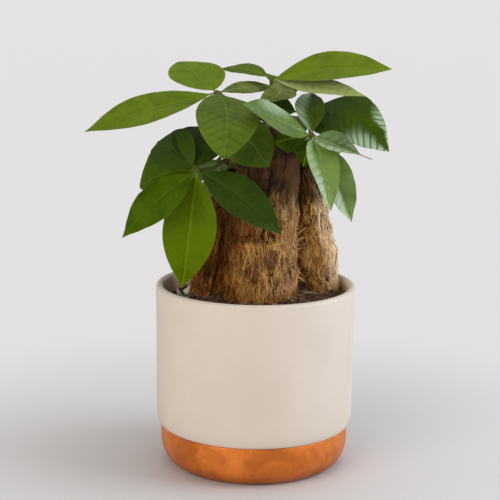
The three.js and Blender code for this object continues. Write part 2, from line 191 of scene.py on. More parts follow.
def loft(rings: np.ndarray, marks: dict[str, np.ndarray] | None = None, look: int = 0) -> Skin:
    """A closed skin over rings of points, with a fan to the middle of the first and the last ring.

    Args:
        rings: Array of (rings, points of a ring, 3), ordered so that faces look outwards.
        marks: Values for each point of the rings, as arrays of (rings, points, 3).
        look: The finish's number.

    Returns:
        The skin, whose last two points are the middles of the ends.
    """
    count, around = rings.shape[:2]
    here = np.arange(count - 1)[:, None] * around + np.arange(around)[None, :]
    side = np.arange(count - 1)[:, None] * around + (np.arange(around)[None, :] + 1) % around
    quads = np.stack([here, side, side + around, here + around], -1).reshape(-1, 4)
    ring = np.arange(around)
    ahead = (ring + 1) % around
    first, last, top = count * around, count * around + 1, (count - 1) * around
    tris = np.concatenate(
        [
            np.stack([np.full(around, first), ahead, ring], -1),
            np.stack([np.full(around, last), top + ring, top + ahead], -1),
        ]
    )
    ends = rings[[0, -1]].mean(1)
    worn = {
        name: np.concatenate([value.reshape(-1, 3), value[[0, -1]].mean(1)])
        for name, value in (marks or {}).items()
    }
    return Skin(np.concatenate([rings.reshape(-1, 3), ends]), quads, tris, worn, look)


def tubes(paths: np.ndarray, radii: np.ndarray, sides: int, look: int = 0, **marks: np.ndarray) -> Skin:
    """Many thin closed tubes, one along each path, with round ends drawn in to a point.

    A ring's points lie at path + radius * (n cos a + b sin a), where n and b are square to the path.

    Args:
        paths: Array of (tubes, points of a path, 3).
        radii: Array of (tubes, points of a path).
        sides: Points of a ring.
        look: The finish's number.
        marks: Values for each path point, as arrays of (tubes, points of a path, 3).

    Returns:
        The skin of all the tubes.
    """
    count, length = paths.shape[:2]
    ahead = unit(np.gradient(paths, axis=1) + 1e-9)
    square = unit(np.cross(ahead, np.array(ASKEW)))
    third = np.cross(ahead, square)
    turn = full_turn(sides)
    ring = square[:, :, None] * np.cos(turn)[:, None] + third[:, :, None] * np.sin(turn)[:, None]
    rings = paths[:, :, None] + radii[:, :, None, None] * ring
    points = rings.reshape(-1, 3)
    index = np.arange(count * length * sides).reshape(count, length, sides)
    after = np.roll(index, -1, 2)
    quads = np.stack([index[:, :-1], after[:, :-1], after[:, 1:], index[:, 1:]], -1).reshape(-1, 4)
    fan = np.arange(1, sides - 1)
    start = np.stack([index[:, 0, :1] + 0 * fan, index[:, 0, fan + 1], index[:, 0, fan]], -1)
    end = np.stack([index[:, -1, :1] + 0 * fan, index[:, -1, fan], index[:, -1, fan + 1]], -1)
    tris = np.concatenate([start.reshape(-1, 3), end.reshape(-1, 3)])
    worn = {name: np.repeat(value.reshape(-1, 3), sides, 0) for name, value in marks.items()}
    return Skin(points, quads, tris, worn, look)


def lumps(places: np.ndarray, sizes: np.ndarray, seed: int, **marks: np.ndarray) -> Skin:
    """Many small crumbs: twenty-sided solids with uneven corners, each turned and stretched at random.

    The twelve corners are those of three golden rectangles. A face is any three corners that are near
    each other, ordered so that it looks outwards.

    Args:
        places: Array of (crumbs, 3).
        sizes: Half-widths, as an array of (crumbs,).
        seed: Which random numbers.
        marks: Values for each crumb, as arrays of (crumbs, 3).

    Returns:
        The skin of all the crumbs.
    """
    golden = (1 + 5**0.5) / 2
    near = [(0, a, b * golden) for a in (-1, 1) for b in (-1, 1)]
    corners = np.array(near + [(b, 0, a) for _, a, b in near] + [(a, b, 0) for _, a, b in near], float)
    corners = unit(corners)
    count = len(corners)
    neighbours = np.linalg.norm(corners[:, None] - corners, axis=-1) < 1.2
    trios = np.array(list(itertools.combinations(range(count), 3)))
    i, j, k = trios.T
    faces = trios[neighbours[i, j] & neighbours[j, k] & neighbours[i, k]]
    a, b, c = corners[faces].transpose(1, 0, 2)
    inward = (np.cross(b - a, c - a) * a).sum(-1) <= 0
    faces[inward] = faces[inward][:, [0, 2, 1]]
    rng = np.random.default_rng(seed)
    axes = np.linalg.qr(rng.normal(size=(len(places), 3, 3)))[0]
    axes *= np.sign(np.linalg.det(axes))[:, None, None]
    stretch = rng.uniform(0.55, 1.25, (len(places), 1, 3))
    uneven = rng.uniform(0.78, 1.12, (len(places), count, 1))
    points = (corners[None] * uneven * stretch) @ axes * sizes[:, None, None] + places[:, None]
    tris = (faces[None] + count * np.arange(len(places))[:, None, None]).reshape(-1, 3)
    worn = {name: np.repeat(value, count, 0) for name, value in marks.items()}
    return Skin(points.reshape(-1, 3), np.empty((0, 4), int), tris, worn)


def curve_through(foot: Point, middle: Point, end: Point, steps: int) -> np.ndarray:
    """Points on the parabola through three points, passed in proportion to the straight distances.

    Args:
        foot: First point.
        middle: Point to pass.
        end: Last point.
        steps: Number of points.

    Returns:
        Array of (steps, 3).
    """
    a, b, c = (np.array(p, float) for p in (foot, middle, end))
    share = np.linalg.norm(b - a) / (np.linalg.norm(b - a) + np.linalg.norm(c - b))
    t = np.linspace(0, 1, steps)[:, None]
    return (
        a * (t - share) * (t - 1) / share
        + b * t * (t - 1) / (share * (share - 1))
        + c * t * (t - share) / (1 - share)
    )


def show(name: str, skins: Sequence[Skin], finishes: Sequence[bpy.types.Material], nodes: Sequence[str],
         sharp: float = 40) -> None:
    """Makes one piece of the object and hides the solids that it stands for.

    Args:
        name: The piece's name.
        skins: Its skins, in mm.
        finishes: Its materials, in the order of the skins' looks.
        nodes: The solids that it replaces.
        sharp: Edges over this angle, in degrees, stay sharp.
    """
    whole = Skin.join(skins)
    mesh = bpy.data.meshes.new(name)
    mesh.from_pydata((whole.points * MM).tolist(), [], whole.quads.tolist() + whole.tris.tolist())
    for mark, values in whole.marks.items():
        layer = mesh.attributes.new(mark, "FLOAT_VECTOR", "POINT")
        layer.data.foreach_set("vector", values.astype(np.float32).ravel())
    for finish in finishes:
        mesh.materials.append(finish)
    mesh.polygons.foreach_set("material_index", Skin.looks_of(skins))
    mesh.polygons.foreach_set("use_smooth", np.ones(len(mesh.polygons), bool))
    mesh.set_sharp_from_angle(angle=math.radians(sharp))
    mesh.validate()
    piece = bpy.data.objects.new(name, mesh)
    bpy.context.scene.collection.objects.link(piece)
    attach(piece, "root")
    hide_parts(*nodes)
    LOG.info("%s: %d points, %d faces", name, len(mesh.vertices), len(mesh.polygons))


# ---------------------------------------------------------------- finishes


class Recipe:
    """A material and the short steps that build its nodes."""

    MIX_INPUTS = (6, 7)  # a Mix node's two colours, among its inputs
    MIX_OUTPUT = 2  # and its colour, among its outputs

    def __init__(self, name: str, roughness: float = 0.5, metallic: float = 0.0) -> None:
        """Starts a material with one Principled shader.

        Args:
            name: The material's name.
            roughness: The shader's roughness, until something varies it.
            metallic: The shader's metalness.
        """
        self.material = bpy.data.materials.new(name)
        self.material.use_nodes = True
        self.tree = self.material.node_tree
        self.tree.nodes.clear()
        self.shader = self.tree.nodes.new("ShaderNodeBsdfPrincipled")
        self.shader.inputs["Roughness"].default_value = roughness
        self.shader.inputs["Metallic"].default_value = metallic
        output = self.tree.nodes.new("ShaderNodeOutputMaterial")
        self.tree.links.new(self.shader.outputs["BSDF"], output.inputs["Surface"])

    def fill(self, socket: Socket, value: Socket | float | Sequence[float]) -> None:
        """Links a socket to another one, or sets its number or colour."""
        if isinstance(value, Socket):
            self.tree.links.new(value, socket)
        else:
            socket.default_value = value

    def attribute(self, name: str) -> tuple[Socket, Socket, Socket]:
        """The three numbers that each point carries under a name.

        Args:
            name: The mark's name.

        Returns:
            Its three numbers.
        """
        node = self.tree.nodes.new("ShaderNodeAttribute")
        node.attribute_name = name
        return self.split(node.outputs["Vector"])

    def place(self, scale: Point = (1, 1, 1)) -> Socket:
        """The object's own coordinates in metres, stretched by a scale for each axis.

        Args:
            scale: How much each axis is stretched.

        Returns:
            The coordinates.
        """
        node = self.tree.nodes.new("ShaderNodeTexCoord")
        mapping = self.tree.nodes.new("ShaderNodeMapping")
        self.fill(mapping.inputs["Vector"], node.outputs["Object"])
        mapping.inputs["Scale"].default_value = scale
        return mapping.outputs[0]

    def vector(self, x: Socket | float, y: Socket | float, z: Socket | float) -> Socket:
        """A vector from three numbers.

        Args:
            x: Its first number.
            y: Its second number.
            z: Its third number.

        Returns:
            The vector.
        """
        node = self.tree.nodes.new("ShaderNodeCombineXYZ")
        for socket, value in zip(node.inputs, (x, y, z)):
            self.fill(socket, value)
        return node.outputs[0]

    def split(self, vector: Socket) -> tuple[Socket, Socket, Socket]:
        """The three numbers of a vector.

        Args:
            vector: The vector.

        Returns:
            Its x, y and z.
        """
        node = self.tree.nodes.new("ShaderNodeSeparateXYZ")
        self.fill(node.inputs[0], vector)
        return node.outputs[0], node.outputs[1], node.outputs[2]

    def math(self, operation: str, *values: Socket | float) -> Socket:
        """A Math node's result.

        Args:
            operation: The node's operation.
            values: What it works on.

        Returns:
            The result.
        """
        node = self.tree.nodes.new("ShaderNodeMath")
        node.operation = operation
        for socket, value in zip(node.inputs, values):
            self.fill(socket, value)
        return node.outputs[0]

    def ramp(self, value: Socket, low: float, high: float, start: float = 0, end: float = 1) -> Socket:
        """Goes smoothly from start, where value is low, to end, where value is high.

        Args:
            value: What is read.
            low: Where the way from start to end begins.
            high: Where it ends.
            start: The result up to low.
            end: The result from high on.

        Returns:
            The result.
        """
        node = self.tree.nodes.new("ShaderNodeMapRange")
        node.interpolation_type = "SMOOTHSTEP"
        for name, number in zip(("From Min", "From Max", "To Min", "To Max"), (low, high, start, end)):
            node.inputs[name].default_value = number
        self.fill(node.inputs["Value"], value)
        return node.outputs["Result"]

    def mix(self, share: Socket | float, a: Socket | Colour, b: Socket | Colour) -> Socket:
        """Colour a, turned by a share into colour b.

        Args:
            share: 0 for colour a, 1 for colour b.
            a: First colour.
            b: Second colour.

        Returns:
            The mixed colour.
        """
        node = self.tree.nodes.new("ShaderNodeMix")
        node.data_type = "RGBA"
        self.fill(node.inputs["Factor"], share)
        for number, colour in zip(self.MIX_INPUTS, (a, b)):
            self.fill(node.inputs[number], colour if isinstance(colour, Socket) else (*colour, 1))
        return node.outputs[self.MIX_OUTPUT]

    def noise(self, vector: Socket, scale: float, detail: float = 3, rough: float = 0.5,
              warp: float = 0) -> Socket:
        """Noise from 0 to 1 over a vector.

        Args:
            vector: Where it is read.
            scale: How fine it is: cells in a metre.
            detail: Number of finer layers.
            rough: How strong the finer layers are.
            warp: How far it is twisted.

        Returns:
            The noise.
        """
        node = self.tree.nodes.new("ShaderNodeTexNoise")
        self.fill(node.inputs["Vector"], vector)
        settings = {"Scale": scale, "Detail": detail, "Roughness": rough, "Distortion": warp}
        for name, number in settings.items():
            node.inputs[name].default_value = number
        return node.outputs["Fac"]

    def bump(self, height: Socket, depth: float, strength: float,
             under: Socket | None = None) -> Socket:
        """A bump of a depth in metres, laid over another one.

        Args:
            height: The relief, as a number.
            depth: How deep a relief of 1 is, in metres.
            strength: 0 for none, 1 for all of it.
            under: The bump that it is laid over, if any.

        Returns:
            The bent normal.
        """
        node = self.tree.nodes.new("ShaderNodeBump")
        node.inputs["Strength"].default_value = strength
        node.inputs["Distance"].default_value = depth
        self.fill(node.inputs["Height"], height)
        if under is not None:
            self.fill(node.inputs["Normal"], under)
        return node.outputs["Normal"]

    def done(self, colour: Socket, normal: Socket | None = None, roughness: Socket | None = None,
             **numbers: float) -> bpy.types.Material:
        """Wires the shader and gives the material.

        Args:
            colour: Base colour.
            normal: Bump, if any.
            roughness: Roughness, where it varies.
            numbers: Numbers for the shader's own sockets, with _ for a space in their names.

        Returns:
            The finished material.
        """
        self.fill(self.shader.inputs["Base Color"], colour)
        if normal is not None:
            self.fill(self.shader.inputs["Normal"], normal)
        if roughness is not None:
            self.fill(self.shader.inputs["Roughness"], roughness)
        for name, number in numbers.items():
            self.shader.inputs[name.replace("_", " ")].default_value = number
        return self.material


@dataclass(frozen=True)
class GlazeFinish:
    """Warm white matt glaze, with a soil stain inside the pot."""

    white: Colour = (0.68, 0.6, 0.515)
    shade: Colour = (0.645, 0.56, 0.475)
    stain: Colour = (0.78, 0.63, 0.47)
    deep_stain: Colour = (0.52, 0.37, 0.22)

    def material(self) -> bpy.types.Material:
        """White with soft clouds, and the mark "stain" turns it brown in uneven tide lines.

        Returns:
            The material.
        """
        r = Recipe("white_glaze", roughness=0.5)
        clouds = r.noise(r.place(), 22, detail=3)
        colour = r.mix(r.ramp(clouds, 0.3, 0.7), self.white, self.shade)
        stained, depth, _ = r.attribute("stain")
        tide = r.noise(r.place((1, 1, 2.5)), 60, detail=5, rough=0.6)
        brown = r.mix(r.ramp(tide, 0.3, 0.7), self.stain, self.deep_stain)
        edge = r.math("ADD", stained, r.math("MULTIPLY", r.math("SUBTRACT", tide, 0.5), 0.5))
        share = r.math("MULTIPLY", r.ramp(edge, 0.25, 0.75), r.ramp(stained, 0.02, 0.2))
        colour = r.mix(share, colour, r.mix(depth, brown, self.deep_stain))
        fine = r.noise(r.place(), 900, detail=3, rough=0.6)
        broad = r.noise(r.place((1, 1, 3)), 45, detail=2)
        normal = r.bump(fine, depth=0.00006, strength=0.5, under=r.bump(broad, depth=0.0006, strength=0.25))
        rough = r.ramp(r.noise(r.place(), 130, detail=4), 0.3, 0.7, start=0.42, end=0.55)
        return r.done(colour, normal, rough)


@dataclass(frozen=True)
class CopperFinish:
    """Copper-coloured lustre glaze, satin and softly mottled."""

    bright: Colour = (0.78, 0.225, 0.03)
    dull: Colour = (0.52, 0.125, 0.01)
    patch: Colour = (0.4, 0.1, 0.008)
    # Painted shade at the foot.
    foot_shade: Colour = (0.2, 0.045, 0.004)

    def material(self) -> bpy.types.Material:
        """Two coppers in broad clouds, with browner blots, painted shade darkening the foot and a finer
        grain.

        Returns:
            The material.
        """
        r = Recipe("copper_lustre", metallic=0.45)
        clouds = r.noise(r.place(), 35, detail=4, rough=0.6, warp=0.6)
        colour = r.mix(r.ramp(clouds, 0.35, 0.65), self.bright, self.dull)
        blots = r.noise(r.place((1, 1, 1.6)), 95, detail=5, rough=0.65, warp=0.4)
        colour = r.mix(r.ramp(blots, 0.55, 0.75, start=0, end=0.4), colour, self.patch)
        height = r.split(r.place())[2]
        # Painted shade: the colour darkens over the lowest 14 mm, towards the foot.
        colour = r.mix(r.ramp(height, 0.0, 0.014, start=0.6, end=0), colour, self.foot_shade)
        grain = r.noise(r.place(), 700, detail=3, rough=0.6)
        broad = r.bump(clouds, depth=0.0005, strength=0.3)
        normal = r.bump(grain, depth=0.00005, strength=0.6, under=broad)
        rough = r.ramp(blots, 0.3, 0.75, start=0.34, end=0.52)
        return r.done(colour, normal, rough)


@dataclass(frozen=True)
class SoilFinish:
    """Damp potting mix. The mark "tone" turns it from dark soil to bark chips, roots and white grit."""

    dark: Colour = (0.045, 0.02, 0.008)
    brown: Colour = (0.16, 0.068, 0.026)
    chip: Colour = (0.15, 0.075, 0.04)
    root: Colour = (0.5, 0.36, 0.24)
    grit: Colour = (0.85, 0.8, 0.74)

    def material(self) -> bpy.types.Material:
        """Tone 0 is soil, 1 a bark chip, 2 a pale root and 3 white grit, with grain in each. The mark's
        second number, from 0 to 1, darkens a piece.

        Returns:
            The material.
        """
        r = Recipe("potting_soil", roughness=0.9)
        tone, own, _ = r.attribute("tone")
        grain = r.noise(r.place(), 420, detail=6, rough=0.7)
        colour = r.mix(r.ramp(grain, 0.35, 0.7), self.dark, self.brown)
        colour = r.mix(r.ramp(tone, 0.3, 1), colour, self.chip)
        colour = r.mix(r.ramp(tone, 1.2, 2), colour, self.root)
        colour = r.mix(r.ramp(tone, 2.2, 3), colour, self.grit)
        colour = r.mix(r.math("MULTIPLY", own, 0.75), colour, self.dark)
        fine = r.noise(r.place(), 1500, detail=4, rough=0.7)
        broad = r.bump(grain, depth=0.0012, strength=0.8)
        return r.done(colour, r.bump(fine, depth=0.0004, strength=0.8, under=broad))


@dataclass(frozen=True)
class BarkFinish:
    """Shaggy bark: straw strands over dark gaps that hold painted shade, rust that holds painted shade on
    the plant's left, paler straw that holds painted light on each trunk's right, smooth and darker towards
    the top with painted shade from the leaves, and reddish scars."""

    # Painted shade: the colour of the hollows between strands, far darker than the fibres themselves.
    gap_shade: Colour = (0.022, 0.007, 0.002)
    strand: Colour = (0.31, 0.14, 0.032)
    straw: Colour = (0.81, 0.49, 0.17)
    dry_and_lit: Colour = (0.95, 0.74, 0.48)
    rust_and_shade: Colour = (0.36, 0.12, 0.014)
    # Painted shade: the dark top's colours stand for the bark's own darker colour and for the leaves' shade
    # on it.
    top_shade: Colour = (0.012, 0.005, 0.002)
    top: Colour = (0.1, 0.043, 0.012)
    scar: Colour = (0.19, 0.075, 0.038)
    scar_dark: Colour = (0.1, 0.04, 0.022)

    def material(self) -> bpy.types.Material:
        """The mark "bark" holds the strands' height, the share of dark top and the share of scar. The
        mark "own" holds a strand's own tone from -1 to 1, the share of rust, with painted shade on the
        plant's left, and the share of dry straw, with painted light on the trunk's right.

        Returns:
            The material.
        """
        r = Recipe("fibrous_bark", roughness=0.85)
        strand, dark, scar = r.attribute("bark")
        own, rust_and_shade_share, dry_and_lit = r.attribute("own")
        x, y, z = r.split(r.place())
        drift = r.math("MULTIPLY", r.math("SUBTRACT", r.noise(r.place(), 120, detail=2), 0.5), 0.012)
        bent = r.vector(r.math("ADD", x, drift), r.math("ADD", y, drift), r.math("MULTIPLY", z, 0.2))
        hair = r.noise(bent, 1100, detail=4, rough=0.65)
        height = r.math("MULTIPLY_ADD", r.math("SUBTRACT", hair, 0.5), 0.9, strand)
        height = r.math("MULTIPLY_ADD", own, 0.34, height)
        # Painted shade: low places in the strand relief turn nearly black.
        colour = r.mix(r.ramp(height, 0.15, 0.52), self.gap_shade, self.strand)
        colour = r.mix(r.ramp(height, 0.46, 1.0), colour, self.straw)
        patches = r.noise(r.place((1, 1, 0.5)), 85, detail=4, rough=0.6)
        # Painted shade: besides real rust patches, rust is laid on more towards the plant's left, the
        # shaded side.
        share = r.math("ADD", rust_and_shade_share, r.math("SUBTRACT", patches, 0.5))
        red = r.mix(r.ramp(height, 0.2, 0.9), self.gap_shade, self.rust_and_shade)
        colour = r.mix(r.ramp(share, 0.0, 0.7, start=0, end=0.85), colour, red)
        # Painted light: paler dry straw on each trunk's right, the side that the window lights.
        colour = r.mix(r.math("MULTIPLY", dry_and_lit, r.ramp(height, 0.15, 0.8)), colour, self.dry_and_lit)
        # Painted shade: the top darkens to near black in its hollows, standing in for the shade under the
        # leaves.
        above = r.mix(r.ramp(height, 0.15, 0.95), self.top_shade, self.top)
        colour = r.mix(dark, colour, above)
        healed = r.mix(r.ramp(patches, 0.35, 0.6), self.scar, self.scar_dark)
        colour = r.mix(r.math("MULTIPLY", scar, 0.9), colour, healed)
        normal = r.bump(hair, depth=0.0007, strength=0.8)
        return r.done(colour, normal, Specular_IOR_Level=0.2)


@dataclass(frozen=True)
class StemFinish:
    """Smooth young stem, green to reddish brown."""

    green: Colour = (0.075, 0.11, 0.015)
    brown: Colour = (0.06, 0.025, 0.01)

    def material(self, name: str, brownness: float) -> bpy.types.Material:
        """Green and brown in soft lengthwise patches.

        Args:
            name: The material's name.
            brownness: 0 for mostly green, 1 for mostly brown.

        Returns:
            The material.
        """
        r = Recipe(name, roughness=0.65)
        patches = r.noise(r.place((1, 1, 0.5)), 140, detail=4, rough=0.6)
        centre = 0.75 - 0.5 * brownness
        colour = r.mix(r.ramp(patches, centre - 0.12, centre + 0.12), self.green, self.brown)
        fine = r.noise(r.place((1, 1, 0.2)), 1500, detail=3)
        return r.done(colour, r.bump(fine, depth=0.0002, strength=0.5), Specular_IOR_Level=0.15)


@dataclass(frozen=True)
class LeafFinish:
    """A leaf blade: two greens in clouds, paler ribs and veins, a thin pale margin, a waxy gloss and, on
    some looks, a painted sheen where the blade would reflect the light.
    """

    name: str
    deep: Colour
    fresh: Colour
    vein: Colour
    pale: float = 0.15  # how far the side veins turn to their own colour
    rib: float = 0.5  # the same for the rib
    furrow: float = 0.0  # how far the side veins turn dark instead
    roughness: float = 0.5
    coat: float = 0.0
    gloss: float = 0.12  # the shader's specular level
    rim: float = 0.05  # how pale the margin is
    painted_sheen: float = 0.0  # how far a painted sheen, a pale painted reflection, covers one half
    half: float = 1.0  # 1 for the painted sheen on the right half, -1 for the left
    start: float = -0.1  # share of the length from which there is painted sheen
    end: float = 1.2  # and to which
    both: bool = False  # whether the painted sheen is on both margins, in bands between the side veins

    def material(self) -> bpy.types.Material:
        """The mark "blade" holds mm across from the rib, mm along it and 1 on the underside. The mark
        "share" holds the place across from -1 to 1, the place along from 0 to 1 and the leaflet's tone.

        Returns:
            The material.
        """
        r = Recipe(self.name)
        across, along, under = r.attribute("blade")
        edge, length, tone = r.attribute("share")
        out = r.math("ABSOLUTE", across)
        wobble = r.noise(r.place(), 90, detail=2)
        bend = r.math("MULTIPLY_ADD", out, VEIN_BEND, VEIN_SLANT)
        line = r.math("SUBTRACT", along, r.math("MULTIPLY", out, bend))
        line = r.math("DIVIDE", line, VEIN_SPACING)
        off = r.math("ABSOLUTE", r.math("SUBTRACT", r.math("FRACT", r.math("ADD", line, 0.5)), 0.5))
        veins = r.ramp(off, 0.0, 0.24, start=1, end=0)
        worn = r.ramp(r.noise(r.place(), 160, detail=3), 0.3, 0.65, start=0.3, end=1)
        veins = r.math("MULTIPLY", veins, worn)
        inner = r.ramp(r.math("ABSOLUTE", edge), 0.7, 1, start=1, end=0)
        veins = r.math("MULTIPLY", veins, inner)
        furrows = r.math("MULTIPLY", veins, self.furrow)
        rib = r.math("MULTIPLY", out, r.ramp(length, 0, 1, start=0.8, end=1.9))
        rib = r.ramp(rib, 0.2, 1.3, start=1, end=0)
        clouds = r.noise(r.place(), 55, detail=4, rough=0.55, warp=0.3)
        blend = r.math("MULTIPLY", r.ramp(clouds, 0.3, 0.7), 0.5)
        blend = r.math("ADD", blend, r.math("SUBTRACT", tone, 0.25))
        colour = r.mix(blend, self.deep, self.fresh)
        colour = r.mix(r.math("MULTIPLY", veins, self.pale), colour, self.vein)
        colour = r.mix(furrows, colour, self.deep)
        specks = r.noise(r.place(), 900, detail=4, rough=0.6)
        colour = r.mix(r.ramp(specks, 0.45, 0.75, start=0, end=0.16), colour, self.vein)
        colour = r.mix(r.math("MULTIPLY", rib, self.rib), colour, self.vein)
        rim = r.ramp(r.math("ABSOLUTE", edge), 0.955, 1, start=0, end=self.rim)
        colour = r.mix(rim, colour, MARGIN)
        # Painted reflection: a pale sheen painted over one half of the blade, or in bands between the side
        # veins.
        if self.painted_sheen:
            side = r.math("MULTIPLY_ADD", edge, self.half, r.math("SUBTRACT", clouds, 0.5))
            sheen_share = r.ramp(side, -0.75, -0.05, start=self.painted_sheen, end=0)
            if self.both:
                sheen_share = r.math("ADD", sheen_share, r.ramp(side, 0.5, 0.85, start=0, end=self.painted_sheen))
            banded = r.ramp(off, 0.03, 0.2, start=0.15 if self.both else 0.4, end=1)
            sheen_share = r.math("MULTIPLY", sheen_share, banded)
            sheen_share = r.math("MULTIPLY", sheen_share, r.ramp(length, self.start - 0.1, self.start + 0.1))
            ending = r.ramp(length, self.end - 0.15, self.end + 0.15, start=1, end=0)
            sheen_share = r.math("MULTIPLY", sheen_share, ending)
            colour = r.mix(sheen_share, colour, PAINTED_SHEEN)
        below = r.mix(0.45, colour, UNDERSIDE)
        colour = r.mix(under, colour, below)
        colour = r.mix(r.ramp(length, 1.005, 1.03), colour, THREAD)
        rough = r.ramp(wobble, 0.3, 0.7, start=self.roughness - 0.05, end=self.roughness + 0.08)
        height = r.math("SUBTRACT", r.math("MULTIPLY", specks, 0.4), r.math("MULTIPLY", veins, 0.5))
        normal = r.bump(height, depth=0.00025, strength=0.5)
        return r.done(
            colour, normal, rough, Coat_Weight=self.coat, Coat_Roughness=0.2, Specular_IOR_Level=self.gloss
        )


MARGIN: Colour = (0.42, 0.5, 0.16)  # a blade's thin edge
PAINTED_SHEEN: Colour = (0.38, 0.5, 0.34)  # painted sheen: a pale colour painted where the blade would reflect the light
UNDERSIDE: Colour = (0.2, 0.3, 0.1)  # what a blade's underside turns towards
THREAD: Colour = (0.25, 0.15, 0.06)  # a leaflet's dried tip
VEIN_SPACING = 6.4  # mm between side veins along the rib
VEIN_SLANT = 0.42  # how far a vein runs forward for each mm outwards
VEIN_BEND = 0.012  # and how that grows towards the margin


class LeafLook(Enum):
    """The looks of leaflets, each with its own finish."""

    YOUNG = LeafFinish(
        "leaf_young", (0.055, 0.1, 0.0), (0.15, 0.23, 0.002), (0.2, 0.27, 0.02),
        pale=0.1, rib=0.3, furrow=0.25, roughness=0.6, rim=0.3,
    )
    OLD = LeafFinish(
        "leaf_old", (0.03, 0.06, 0.0), (0.105, 0.165, 0.006), (0.15, 0.22, 0.04),
        pale=0, rib=0.4, furrow=0.6, roughness=0.55,
    )
    BRIGHT = LeafFinish(
        "leaf_bright", (0.02, 0.055, 0.0), (0.1, 0.165, 0.0), (0.21, 0.27, 0.004),
        pale=0.12, rib=0.7, gloss=0.05,
    )
    OLIVE = LeafFinish(
        "leaf_olive", (0.06, 0.085, 0.006), (0.27, 0.33, 0.1), (0.34, 0.38, 0.13),
        pale=0.1, rib=0.25, furrow=0.2, roughness=0.6,
    )
    # Waxy gloss from the coat, with a painted sheen on the right half.
    WAXY = LeafFinish(
        "leaf_waxy", (0.03, 0.08, 0.004), (0.14, 0.24, 0.04), (0.22, 0.32, 0.09),
        rib=0.4, roughness=0.34, coat=0.3, gloss=0.3, painted_sheen=0.5,
    )
    # Its gloss is mostly painted: pale bands of painted reflection near the tip, between the side veins.
    GLOSSY = LeafFinish(
        "leaf_glossy", (0.014, 0.035, 0.0), (0.045, 0.085, 0.0), (0.07, 0.12, 0.0),
        rib=0.4, roughness=0.4, gloss=0.03, painted_sheen=0.75, start=0.64, both=True,
    )
    # Painted highlight streaks on the left half.
    STREAKED = LeafFinish(
        "leaf_sheen_streaked", (0.02, 0.04, 0.0), (0.065, 0.12, 0.005), (0.12, 0.17, 0.03),
        roughness=0.4, gloss=0.1, painted_sheen=0.55, half=-1,
    )
    DEEP = LeafFinish(
        "leaf_deep", (0.014, 0.032, 0.001), (0.038, 0.072, 0.007), (0.07, 0.11, 0.01),
        pale=0.1, rib=0.4, gloss=0.05,
    )
    # Waxy gloss from the coat, with a painted highlight patch over the middle of the length.
    SHINY = LeafFinish(
        "leaf_shiny", (0.03, 0.08, 0.003), (0.13, 0.22, 0.03), (0.22, 0.31, 0.08),
        rib=0.4, roughness=0.34, coat=0.3, gloss=0.3, painted_sheen=0.8, start=0.28, end=0.66,
    )
    PLAIN = LeafFinish(
        "leaf_plain", (0.014, 0.04, 0.0), (0.07, 0.125, 0.0), (0.12, 0.19, 0.004),
        pale=0.08, rib=0.35, gloss=0.05,
    )

    @property
    def number(self) -> int:
        """The place of the look among a leaf's materials."""
        return list(LeafLook).index(self)


# ---------------------------------------------------------------- planter


